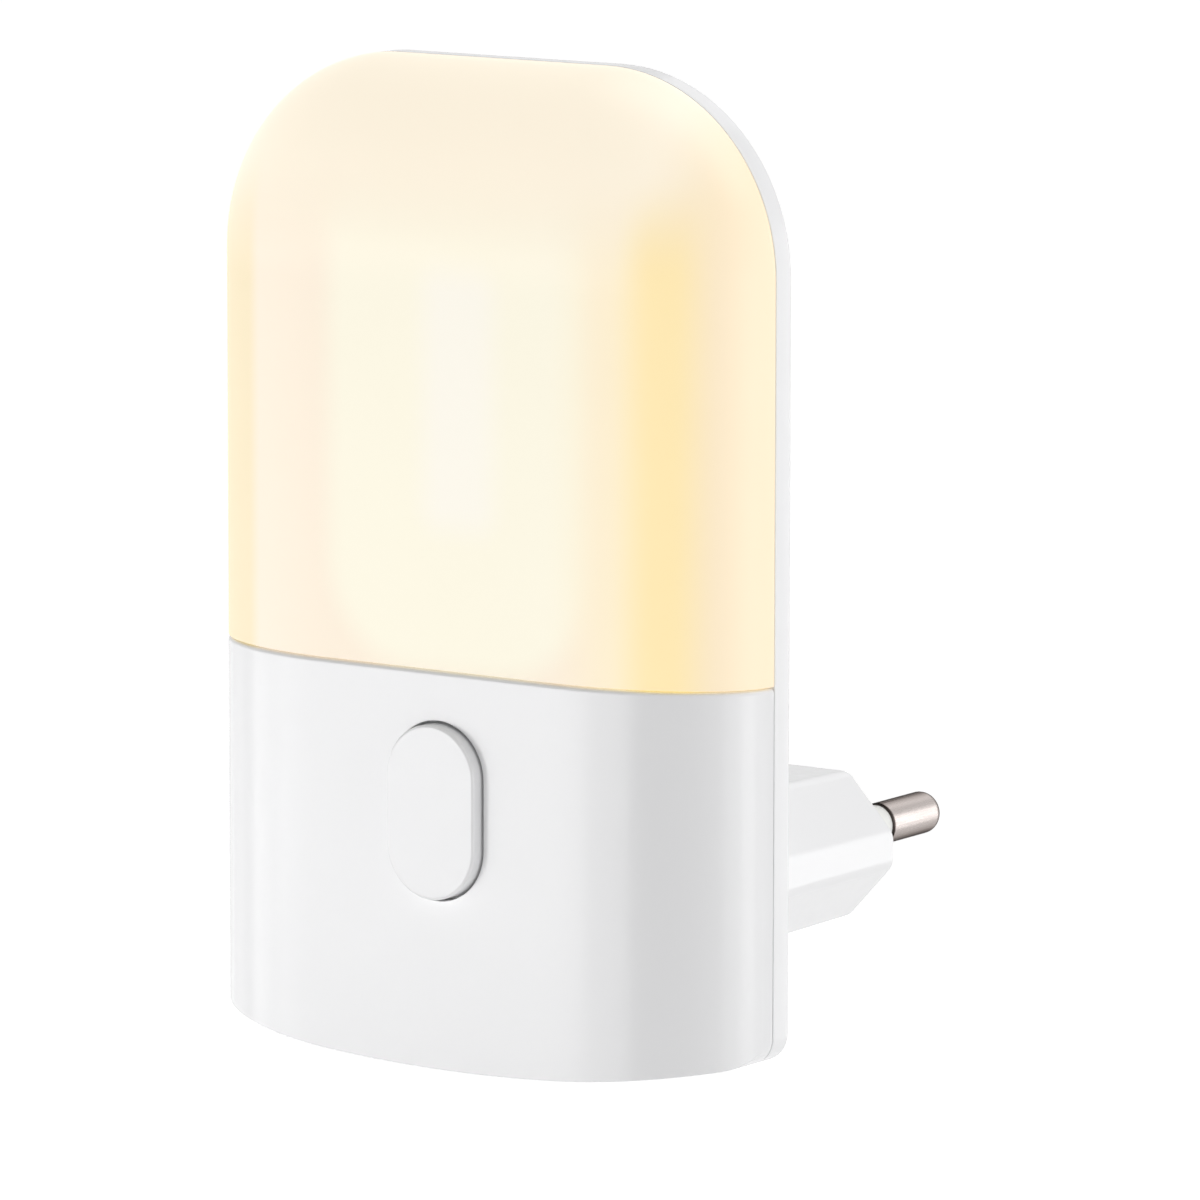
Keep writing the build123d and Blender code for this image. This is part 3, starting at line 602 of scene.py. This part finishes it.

# %% [markdown]
# ## The dome under the button
#
# Behind the button a thin steel dome gives the click: the plunger pushes its crown, and the whole
# cap snaps flat. A rigid dome would be cut through by the plunger; this piece has the dome's size
# at rest, and nothing here flattens it. It is drawn like a turned part: one arc from the crown to
# the rim, spun once round, and given the thickness of the sheet.

# %% Snap dome
dome_sheet = 0.1 * mm
dome_arc_steps, dome_round_steps = 8, 48
dome_low, dome_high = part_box("switch_dome")
dome_middle = (dome_low + dome_high) / 2
dome_radius = (dome_high.x - dome_low.x) / 2
dome_height = dome_high.y - dome_low.y - dome_sheet
ball_radius = (dome_radius**2 + dome_height**2) / (2 * dome_height)
leave_edit_mode()
bpy.ops.mesh.primitive_plane_add(size=1, location=(0, 0, 0))
dome = begin_piece("snap_dome")
bpy.ops.mesh.select_mode(type="VERT")
bpy.ops.mesh.select_all(action="SELECT")
bpy.ops.mesh.merge(type="CENTER")
bpy.ops.transform.translate(value=(dome_middle.x, dome_low.y, dome_middle.z))
bpy.ops.mesh.spin(
    steps=dome_arc_steps, angle=math.asin(dome_radius / ball_radius),
    center=(dome_middle.x, dome_low.y + ball_radius, dome_middle.z), axis=(0, 0, 1),
)
bpy.ops.mesh.select_all(action="SELECT")
bpy.ops.mesh.spin(
    steps=dome_round_steps, angle=2 * math.pi, center=tuple(dome_middle), axis=(0, 1, 0),
)
bpy.ops.mesh.select_all(action="SELECT")
bpy.ops.mesh.remove_doubles(threshold=tolerance / 2)
bpy.ops.mesh.normals_make_consistent(inside=False)
apply_modifier(dome, "SOLIDIFY", thickness=dome_sheet, offset=-1, use_even_offset=True)
bpy.ops.object.shade_smooth_by_angle(angle=math.radians(40))
print("dome", len(dome.data.polygons), "faces,", round(1000 * dome_height, 2), "mm high")

# %% [markdown]
# ## Finishes
#
# Every finish below is built from nodes. Four small tools serve them all: one turns a hex colour
# into the linear values that the shader wants, one adds a node with its settings and links, one
# begins a material, and one lays it on a piece. A pattern's scale is given as the real size of
# its grain, so it stays right if the piece grows.

# %% Tools for the finishes
def hex_colour(code):
    """An sRGB hex colour as linear red, green, blue and alpha."""
    parts = [int(code[i:i + 2], 16) / 255 for i in (1, 3, 5)]
    linear = [p / 12.92 if p <= 0.04045 else ((p + 0.055) / 1.055) ** 2.4 for p in parts]
    return (*linear, 1.0)


def add_node(tree, kind, links=None, values=None, **settings):
    """Add one node, set its options and socket values, and link its inputs."""
    node = tree.nodes.new(kind)
    for option, value in settings.items():
        setattr(node, option, value)
    for socket, value in (values or {}).items():
        node.inputs[socket].default_value = value
    for socket, source in (links or {}).items():
        tree.links.new(source, node.inputs[socket])
    return node


def begin_finish(name, **sockets):
    """A new material with its shader set, and the object's own coordinates to draw on."""
    finish = bpy.data.materials.new(name)
    finish.use_nodes = True
    tree = finish.node_tree
    tree.nodes.clear()
    shader = add_node(tree, "ShaderNodeBsdfPrincipled")
    add_node(tree, "ShaderNodeOutputMaterial", {"Surface": shader.outputs[0]})
    for socket, value in sockets.items():
        shader.inputs[socket.replace("_", " ")].default_value = value
    place = add_node(tree, "ShaderNodeTexCoord").outputs["Object"]
    return finish, tree, shader, place


def grain_scale(size):
    """The texture scale at which one grain is this many metres wide."""
    return 1 / size


def tint_over(tree, under, share, colour):
    """Lay a colour over what is there, by a share from 0 to 1."""
    mix = add_node(tree, "ShaderNodeMix", {"Factor": share}, data_type="RGBA")
    mix.inputs["B"].default_value = hex_colour(colour)
    if isinstance(under, str):
        mix.inputs["A"].default_value = hex_colour(under)
    else:
        tree.links.new(under, mix.inputs["A"])
    return mix.outputs["Result"]


def add_waviness(tree, place, shader, width, depth):
    """The faint waves of a moulded skin, in the shader's normal."""
    waves = add_node(
        tree, "ShaderNodeTexNoise", {"Vector": place},
        {"Scale": grain_scale(width), "Detail": 1.0, "Roughness": 0.4},
    )
    bump = add_node(
        tree, "ShaderNodeBump", {"Height": waves.outputs["Fac"]},
        {"Strength": 0.25, "Distance": depth},
    )
    tree.links.new(bump.outputs["Normal"], shader.inputs["Normal"])


def dress(piece, finish):
    """Give a piece one finish all over."""
    piece.data.materials.clear()
    piece.data.materials.append(finish)


print("finish tools ready")

# %% [markdown]
# ### Moulded plastics
#
# Housing, button and cover are ABS from a polished mould: glossy, yet never a perfect mirror. A
# faint waviness bends the reflections a little, and fine contact marks make the gloss uneven.
# Without both the shell looks like glass. The pin sleeves and the carrier are polyamide from a
# mould with a fine satin texture, so they are duller and their grain is tighter. One function
# makes every moulded plastic from its colour, its gloss and the size of its grain.

# %% Moulded plastics
def moulded_plastic(name, colour, drift, roughness, spread, grain, wave_depth, **sockets):
    """Colour that drifts slightly, gloss that varies from grain to grain, and faint waves."""
    finish, tree, shader, place = begin_finish(name, **sockets)
    cloud = add_node(
        tree, "ShaderNodeTexNoise", {"Vector": place},
        {"Scale": grain_scale(18 * mm), "Detail": 2.0, "Roughness": 0.5},
    )
    tree.links.new(
        tint_over(tree, colour, cloud.outputs["Fac"], drift), shader.inputs["Base Color"],
    )
    marks = add_node(
        tree, "ShaderNodeTexNoise", {"Vector": place},
        {"Scale": grain_scale(grain), "Detail": 4.0, "Roughness": 0.65},
    )
    gloss = add_node(
        tree, "ShaderNodeMapRange", {"Value": marks.outputs["Fac"]},
        {"From Min": 0.3, "From Max": 0.7,
         "To Min": roughness - spread, "To Max": roughness + spread},
    )
    tree.links.new(gloss.outputs["Result"], shader.inputs["Roughness"])
    add_waviness(tree, place, shader, 5 * grain, wave_depth)
    return finish


# ABS, polished mould: a clean bright white with soft reflections.
polished_abs = moulded_plastic(
    "polished_white_abs", "#F4F4F5", "#F2F2F3", 0.21, 0.03, 1.2 * mm, 0.03 * mm, IOR=1.53,
)
# Polyamide, satin mould: the sleeves and the carrier stay dull beside the bright metal.
satin_polyamide = moulded_plastic(
    "satin_white_polyamide", "#F1F1EE", "#ECECE8", 0.38, 0.06, 0.4 * mm, 0.01 * mm, IOR=1.53,
)
# Glass-filled epoxy of chips, rectifier and switch: near black, matt, with a gritty grain.
moulded_epoxy = moulded_plastic(
    "moulded_black_epoxy", "#232325", "#2A2A2B", 0.55, 0.1, 0.15 * mm, 0.02 * mm, IOR=1.55,
)
# Box of the film capacitor: dyed thermoplastic, evenly yellow and fairly glossy.
capacitor_box = moulded_plastic(
    "yellow_capacitor_box", "#D9B12F", "#CFA528", 0.3, 0.05, 0.5 * mm, 0.01 * mm, IOR=1.57,
)
# Shrunk film round the electrolytic can: smooth and dark, drawn tight over the metal.
shrunk_sleeve = moulded_plastic(
    "shrunk_dark_sleeve", "#1D2030", "#23263A", 0.24, 0.05, 0.8 * mm, 0.02 * mm, IOR=1.54,
)
# Extruded insulation of the two leads: slightly waxy, in the usual red and black.
red_insulation = moulded_plastic(
    "red_wire_insulation", "#B3221D", "#A81E1A", 0.4, 0.05, 0.4 * mm, 0.01 * mm, IOR=1.54,
)
black_insulation = moulded_plastic(
    "black_wire_insulation", "#1C1C1C", "#222222", 0.4, 0.05, 0.4 * mm, 0.01 * mm, IOR=1.54,
)
print("made seven moulded plastics")

# %% [markdown]
# ### Opal diffuser, lit from behind
#
# The diffuser is polycarbonate filled with fine scattering powder. It passes about half of the
# light, so by day its own colour is darker than the housing's, and what the lamps add makes up
# the rest. The lamps sit in two rows on a board behind it: the middle glows nearly white, and
# towards the rim the light crosses the wall slantwise and turns warmer, most of all along the
# rounded side. A plain radial gradient would draw circles. The distance to a rounded frame
# gives the nested bands that a lamp of this shape has, and each frame below adds one of them.
# These bands are partly painted light and shade as well: their colours were set together with
# the panels' light, so they carry painted light and shade beside the lamps' own falloff, and
# the warm band along the rounded side is partly painted shade of that corner.

# %% Opal polycarbonate with the lamps' glow
def beyond_frame(tree, place, low, high, start, spread):
    """0 up to a distance from a frame in x and z, then rising to 1, round its corners."""
    centre = ((low[0] + high[0]) / 2, 0, (low[1] + high[1]) / 2)
    half = ((high[0] - low[0]) / 2, 1, (high[1] - low[1]) / 2)
    moved = add_node(
        tree, "ShaderNodeVectorMath", {0: place}, {1: centre}, operation="SUBTRACT",
    )
    folded = add_node(tree, "ShaderNodeVectorMath", {0: moved.outputs[0]}, operation="ABSOLUTE")
    outside = add_node(
        tree, "ShaderNodeVectorMath", {0: folded.outputs[0]}, {1: half}, operation="SUBTRACT",
    )
    kept = add_node(
        tree, "ShaderNodeVectorMath", {0: outside.outputs[0]}, {1: (0, 0, 0)}, operation="MAXIMUM",
    )
    distance = add_node(tree, "ShaderNodeVectorMath", {0: kept.outputs[0]}, operation="LENGTH")
    share = add_node(
        tree, "ShaderNodeMapRange", {"Value": distance.outputs["Value"]},
        {"From Min": start, "From Max": start + spread}, interpolation_type="SMOOTHSTEP",
    )
    return share.outputs["Result"]


far = 200 * mm
# lamp light falling off towards the rim, partly painted light and shade set with the panels
glow_and_painted_light_bands = (
    # the frame's low and high corner in x and z, the distance where its soft edge begins, the
    # width of that edge, and the colour beyond it
    ((0.8 * mm, 36.2 * mm), (3.8 * mm, 54.8 * mm), 0, 4.5 * mm, "#B3AE96"),
    ((-2.0 * mm, 31 * mm), (6.4 * mm, 59.5 * mm), 8.0 * mm, 4.0 * mm, "#B2A087"),
    ((-far, -far), (11.6 * mm, far), 0, 9.0 * mm, "#C2B082"),
    ((-20.6 * mm, -far), (27.2 * mm, far), 0, 2.0 * mm, "#AB9558"),
    ((-far, -far), (far, 54 * mm), 0, 13.0 * mm, "#CABEA8"),
    ((-far, -far), (20 * mm, far), 0, 8.0 * mm, "#BEA67A"),
)
glow_middle = "#B3AFA3"
# warm side colour: lamp light turned warmer, partly painted shade of the rounded corner
warm_side_and_painted_shade = "#C8AC56"

opal_finish, tree, shader, place = begin_finish(
    "lit_opal_polycarbonate", IOR=1.58, Roughness=0.42, Emission_Strength=1.0,
)
powder = add_node(
    tree, "ShaderNodeTexNoise", {"Vector": place},
    {"Scale": grain_scale(9 * mm), "Detail": 3.0, "Roughness": 0.5},
)
tree.links.new(
    tint_over(tree, "#C4C0B8", powder.outputs["Fac"], "#C1BDB4"), shader.inputs["Base Color"],
)
lit_and_painted_colour = glow_middle
for low, high, start, spread, colour in glow_and_painted_light_bands:
    lit_and_painted_colour = tint_over(tree, lit_and_painted_colour, beyond_frame(tree, place, low, high, start, spread), colour)

# The warm band stands along the rounded side, between two places in x, and fades in the arch.
# It is partly painted shade: it lies where the panels leave the rounded corner darker.
band_low, band_high = 16 * mm, 29.5 * mm
band_ends, band_peak = (0.16, 0.84), (0.46, 0.56)
arch_fade_start, arch_fade_end = 57 * mm, 67 * mm
axes = add_node(tree, "ShaderNodeSeparateXYZ", {"Vector": place})
across = add_node(
    tree, "ShaderNodeMapRange", {"Value": axes.outputs["X"]},
    {"From Min": band_low, "From Max": band_high},
)
band = add_node(tree, "ShaderNodeValToRGB", {"Fac": across.outputs["Result"]})
band.color_ramp.interpolation = "EASE"
stops = band.color_ramp.elements
for stop, position in zip(stops, band_ends):
    stop.position, stop.color = position, (0, 0, 0, 1)
for position in band_peak:
    stops.new(position).color = (1, 1, 1, 1)
upright = add_node(
    tree, "ShaderNodeMapRange", {"Value": axes.outputs["Z"]},
    {"From Min": arch_fade_end, "From Max": arch_fade_start}, interpolation_type="SMOOTHSTEP",
)
band_share = add_node(
    tree, "ShaderNodeMath",
    {0: band.outputs["Color"], 1: upright.outputs["Result"]}, operation="MULTIPLY",
)
lit_and_painted_colour = tint_over(tree, lit_and_painted_colour, band_share.outputs[0], warm_side_and_painted_shade)
tree.links.new(lit_and_painted_colour, shader.inputs["Emission Color"])
add_waviness(tree, place, shader, 7 * mm, 0.03 * mm)
print("made", opal_finish.name, "with", len(glow_and_painted_light_bands), "nested bands")

# %% [markdown]
# ### Metals
#
# The pins are turned from brass and plated with nickel, which is a little warmer and darker
# than chrome. Plugging in and out draws fine lines along them. The screws, the switch's cover
# and its dome are zinc-plated or bare steel, and the terminals are dip-tinned, so their skin is
# cloudy. Stretching the coordinates before the noise turns round grains into drawn lines.

# %% Plated and drawn metals
shadow_colour = "#4B4644"
shadow_full, shadow_end = 0.20 * mm, 0.45 * mm


def plated_metal(
    name, colour, dull, roughness, spread, grain, stretch, line_depth, shoulder_y=None, **sockets
):
    """Metal with lines or clouds in its gloss; stretch is how long a grain is along y."""
    finish, tree, shader, place = begin_finish(name, Metallic=1.0, **sockets)
    drawn = add_node(
        tree, "ShaderNodeMapping", {"Vector": place}, {"Scale": (1, 1 / stretch, 1)},
    )
    lines = add_node(
        tree, "ShaderNodeTexNoise", {"Vector": drawn.outputs["Vector"]},
        {"Scale": grain_scale(grain), "Detail": 5.0, "Roughness": 0.6},
    )
    skin = tint_over(tree, colour, lines.outputs["Fac"], dull)
    if shoulder_y is not None:
        axes = add_node(tree, "ShaderNodeSeparateXYZ", {"Vector": place})
        shadow = add_node(
            tree, "ShaderNodeMapRange", {"Value": axes.outputs["Y"]},
            {"From Min": shoulder_y + shadow_end, "From Max": shoulder_y + shadow_full},
        )
        skin = tint_over(tree, skin, shadow.outputs["Result"], shadow_colour)
    tree.links.new(skin, shader.inputs["Base Color"])
    gloss = add_node(
        tree, "ShaderNodeMapRange", {"Value": lines.outputs["Fac"]},
        {"From Min": 0.3, "From Max": 0.7,
         "To Min": roughness - spread, "To Max": roughness + spread},
    )
    tree.links.new(gloss.outputs["Result"], shader.inputs["Roughness"])
    bump = add_node(
        tree, "ShaderNodeBump", {"Height": lines.outputs["Fac"]},
        {"Strength": 0.3, "Distance": line_depth},
    )
    tree.links.new(bump.outputs["Normal"], shader.inputs["Normal"])
    return finish


# Nickel on brass, polished by use: bright streaks beside dark ones, drawn along the pin. Real
# lines of this kind are very fine, so they are drawn wider here to show at all. The nearly black
# specular tint is painted shade in the gloss: it makes the pin look nearly black along its edges.
# Where the sleeve ends, the turned shoulder holds a shadow, so the first bit of metal is dark.
sleeve_end_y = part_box("pin_sleeve_right")[1].y
nickel_plate = plated_metal(
    "nickel_plated_brass", "#D0C8C5", "#BDB5B1", 0.28, 0.05, 0.12 * mm, 40, 0.004 * mm,
    shoulder_y=sleeve_end_y, Specular_Tint=hex_colour("#141414"),
)
# Zinc on steel: grey with a dull, slightly cloudy skin.
zinc_plate = plated_metal(
    "zinc_plated_steel", "#C6C7C8", "#ABACAE", 0.34, 0.08, 0.3 * mm, 1, 0.004 * mm,
)
# Tin from a dip: soft and cloudy, with a low lustre.
tinned_copper = plated_metal(
    "tinned_copper", "#C8C8C6", "#B5B5B2", 0.4, 0.08, 0.25 * mm, 1, 0.004 * mm,
)
print("made three metals")

# %% [markdown]
# ### Boards, lamps and a coated resistor
#
# A printed board is glass cloth under a lacquer, and the cloth shows through as a faint grid.
# Two sets of waves at right angles, one per thread, draw it as a bump. The lamps are yellow
# phosphor in clear resin and glow by themselves. The fusible resistor has a lacquered body with
# the usual colour rings, which a ramp with hard steps paints across its length.

# %% Boards, lamps and resistor
thread_pitch = 0.45 * mm


def board_lacquer(name, colour, drift, thread_axes):
    """Solder lacquer over glass cloth, whose threads lie along two of the three axes."""
    finish, tree, shader, place = begin_finish(name, IOR=1.5, Roughness=0.36)
    cloud = add_node(
        tree, "ShaderNodeTexNoise", {"Vector": place},
        {"Scale": grain_scale(6 * mm), "Detail": 2.0},
    )
    tree.links.new(
        tint_over(tree, colour, cloud.outputs["Fac"], drift), shader.inputs["Base Color"],
    )
    threads = [
        add_node(
            tree, "ShaderNodeTexWave", {"Vector": place},
            {"Scale": grain_scale(thread_pitch) / (2 * math.pi), "Distortion": 0.4},
            wave_type="BANDS", bands_direction=axis,
        )
        for axis in thread_axes
    ]
    cloth = add_node(
        tree, "ShaderNodeMath",
        {0: threads[0].outputs["Fac"], 1: threads[1].outputs["Fac"]}, operation="MULTIPLY",
    )
    bump = add_node(
        tree, "ShaderNodeBump", {"Height": cloth.outputs[0]},
        {"Strength": 0.3, "Distance": 0.02 * mm},
    )
    tree.links.new(bump.outputs["Normal"], shader.inputs["Normal"])
    return finish


white_lacquer = board_lacquer("white_board_lacquer", "#E8E8E4", "#E2E2DC", ("X", "Z"))
green_lacquer = board_lacquer("green_board_lacquer", "#1E5B38", "#1A5232", ("X", "Y"))

lamp_phosphor, tree, shader, place = begin_finish(
    "lit_lamp_phosphor", IOR=1.5, Roughness=0.25, Emission_Strength=2.0,
)
grains = add_node(
    tree, "ShaderNodeTexNoise", {"Vector": place},
    {"Scale": grain_scale(0.3 * mm), "Detail": 3.0},
)
phosphor = tint_over(tree, "#F3D48A", grains.outputs["Fac"], "#F7E0A6")
tree.links.new(phosphor, shader.inputs["Base Color"])
tree.links.new(phosphor, shader.inputs["Emission Color"])

ringed_lacquer, tree, shader, place = begin_finish(
    "ringed_resistor_lacquer", IOR=1.55, Roughness=0.3,
)
resistor_low, resistor_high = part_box("fuse_resistor")
resistor_size = resistor_high - resistor_low
long_axis = max(range(3), key=lambda axis: resistor_size[axis])
axes = add_node(tree, "ShaderNodeSeparateXYZ", {"Vector": place})
along = add_node(
    tree, "ShaderNodeMapRange", {"Value": axes.outputs["XYZ"[long_axis]]},
    {"From Min": resistor_low[long_axis], "From Max": resistor_high[long_axis]},
)
rings = add_node(tree, "ShaderNodeValToRGB", {"Fac": along.outputs["Result"]})
rings.color_ramp.interpolation = "CONSTANT"
lacquer_colour = "#7FA9BF"
ring_stops = (
    (0.28, "#6B3E22"), (0.34, lacquer_colour), (0.42, "#1D1D1D"), (0.48, lacquer_colour),
    (0.56, "#B08D3C"), (0.62, lacquer_colour),
)
stops = rings.color_ramp.elements
stops[0].position, stops[0].color = 0.0, hex_colour(lacquer_colour)
stops[1].position, stops[1].color = 0.99, hex_colour(lacquer_colour)
for position, colour in ring_stops:
    stops.new(position).color = hex_colour(colour)
tree.links.new(rings.outputs["Color"], shader.inputs["Base Color"])
add_waviness(tree, place, shader, 0.8 * mm, 0.01 * mm)
print("made boards, lamps and resistor; its rings run along", "xyz"[long_axis])

# %% [markdown]
# ## Dressing
#
# The four moulded skins and the snap dome are new pieces that stand for their CAD nodes. The
# other nodes inside, the pins, their sleeves and the screws already have their right shape, so
# they stay and only get their finish.

# %% Dress the new pieces and the nodes that stay
dress(diffuser, opal_finish)
for piece in (housing, button, cover):
    dress(piece, polished_abs)
dress(dome, zinc_plate)

node_finishes = {
    satin_polyamide: ("pin_carrier", "pin_sleeve_left", "pin_sleeve_right"),
    nickel_plate: ("pin_left", "pin_right"),
    white_lacquer: ("light_board",),
    green_lacquer: ("driver_board",),
    lamp_phosphor: ("leds",),
    capacitor_box: ("film_capacitor",),
    shrunk_sleeve: ("electrolytic_capacitor",),
    moulded_epoxy: (
        "bridge_rectifier", "driver_chip", "chip_resistors", "switch_body", "switch_plunger",
    ),
    ringed_lacquer: ("fuse_resistor",),
    zinc_plate: ("switch_cover", "board_screws", "case_screws"),
    tinned_copper: ("switch_terminals",),
    red_insulation: ("led_lead_positive",),
    black_insulation: ("led_lead_negative",),
}
for finish, node_names in node_finishes.items():
    for node_name in node_names:
        dress(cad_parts[node_name], finish)
print("finishes laid on", sum(len(names) for names in node_finishes.values()), "nodes")

# %% [markdown]
# ## Light, floor and background
#
# A glossy white thing is drawn by what it reflects. The camera looks slightly down, so every
# upright wall mirrors what stands a little below eye level, and what stands higher only lights
# it. Two rings of soft panels use this. The low ring draws the bands on the rounded corner, and
# the high ring gives the even light. Four single panels light what the rings leave dark: the
# right side from above, the top, the pin, and the back. The one behind is kept weak, because a
# stronger one washes out the slanted sides of the plug. A panel's power follows from its size,
# so its brightness stays what it says.

# %% Soft panels
ring_distance = 0.60
low_elevation, low_width, low_height = -8.5, 0.2116, 0.18
high_elevation, high_width, high_height = 13, 0.32, 0.27


def add_panel(name, azimuth, elevation, distance, width, height, brightness):
    """A soft panel that faces the lamp from a direction given in degrees."""
    side, up = math.radians(azimuth), math.radians(elevation)
    towards = Vector((math.sin(side) * math.cos(up), -math.cos(side) * math.cos(up), math.sin(up)))
    panel = bpy.data.lights.new(name, "AREA")
    panel.shape = "RECTANGLE"
    panel.size, panel.size_y = width, height
    panel.energy = brightness * math.pi * width * height
    holder = bpy.data.objects.new(name, panel)
    bpy.context.scene.collection.objects.link(holder)
    holder.location = camera_target + towards * distance
    holder.rotation_euler = towards.to_track_quat("Z", "Y").to_euler()


# each ring panel's azimuth in degrees and its brightness
low_panels = (
    (-110, 0.4), (-90, 0.95), (-70, 3.0), (-50, 4.3), (-30, 5.0), (-10, 3.1),
    (50, 0.4), (70, 1.9), (90, 3.3), (110, 1.3),
)
high_panels = ((60, 0.7), (90, 1.3), (120, 0.7))
single_panels = (
    # name, azimuth and elevation in degrees, distance, width, height, brightness
    ("panel_above_right", 108, 46, 0.70, 0.50, 0.34, 2.2),
    ("panel_overhead", 180, 84, 0.70, 0.60, 0.50, 1.5),
    ("panel_for_the_pin", 149, -4, 0.30, 0.06, 0.20, 2.0),
    ("panel_behind", 190, 36, 0.80, 0.40, 0.40, 0.6),
)
rings = (
    ("low", low_panels, low_elevation, low_width, low_height),
    ("high", high_panels, high_elevation, high_width, high_height),
)
for ring, panels, elevation, width, height in rings:
    for azimuth, brightness in panels:
        add_panel(
            f"{ring}_panel_{azimuth % 360:03d}", azimuth, elevation, ring_distance,
            width, height, brightness,
        )
for settings in single_panels:
    add_panel(*settings)
print("panels:", len(low_panels), "low,", len(high_panels), "high,", len(single_panels), "single")

# %% [markdown]
# The lamp hangs free, as it would in a wall socket, so the floor lies well below it. World and
# floor are white for the camera and for gloss, so that metal shows them too, but they light the
# lamp only faintly: a white room all round would wash out the bands on the shell.

# %% World and floor
def white_when_seen(tree, unseen, seen):
    """A strength for the rays that show the background, and a lower one for the rest."""
    rays = add_node(tree, "ShaderNodeLightPath")
    direct = add_node(
        tree, "ShaderNodeMath",
        {0: rays.outputs["Is Camera Ray"], 1: rays.outputs["Is Glossy Ray"]}, operation="MAXIMUM",
    )
    any_of_them = add_node(
        tree, "ShaderNodeMath",
        {0: direct.outputs[0], 1: rays.outputs["Is Transmission Ray"]}, operation="MAXIMUM",
    )
    strength = add_node(
        tree, "ShaderNodeMapRange", {"Value": any_of_them.outputs[0]},
        {"To Min": unseen, "To Max": seen},
    )
    return strength.outputs["Result"]


ambient_strength = 0.13
world = bpy.data.worlds.new("pale_room")
bpy.context.scene.world = world
world.use_nodes = True
world.node_tree.nodes.clear()
background = add_node(
    world.node_tree, "ShaderNodeBackground",
    {"Strength": white_when_seen(world.node_tree, ambient_strength, 1.0)},
    {"Color": (1, 1, 1, 1)},
)
add_node(world.node_tree, "ShaderNodeOutputWorld", {"Surface": background.outputs[0]})

floor_z, floor_size = -0.26, 12
floor_glow = 0.85
leave_edit_mode()
bpy.ops.mesh.primitive_plane_add(size=floor_size, location=(0, 0, floor_z))
floor = bpy.context.object
floor.name = "floor"
floor_finish, floor_tree, floor_shader, _ = begin_finish(
    "pale_paper_floor", Base_Color=hex_colour("#F4F4F4"), Roughness=0.9,
)
floor_shader.inputs["Emission Color"].default_value = (1, 1, 1, 1)
floor_tree.links.new(
    white_when_seen(floor_tree, 0.0, floor_glow), floor_shader.inputs["Emission Strength"],
)
floor.data.materials.append(floor_finish)
print("floor at", floor_z)

# %% [markdown]
# ## What moves, and what each piece stands for
#
# The button rides on its own body, and the other new pieces belong to the lamp. The dome's rim
# rests on the switch's floor, and the dome gets a mesh of its own.

# %% What each piece stands for
leave_edit_mode()
for piece, node, body in (
    (diffuser, "diffuser", "lamp"),
    (housing, "front_housing", "lamp"),
    (button, "button_cap", "button"),
    (cover, "rear_cover", "lamp"),
    (dome, "switch_dome", "lamp"),
):
    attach(piece, body)
    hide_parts(node)

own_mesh(dome)
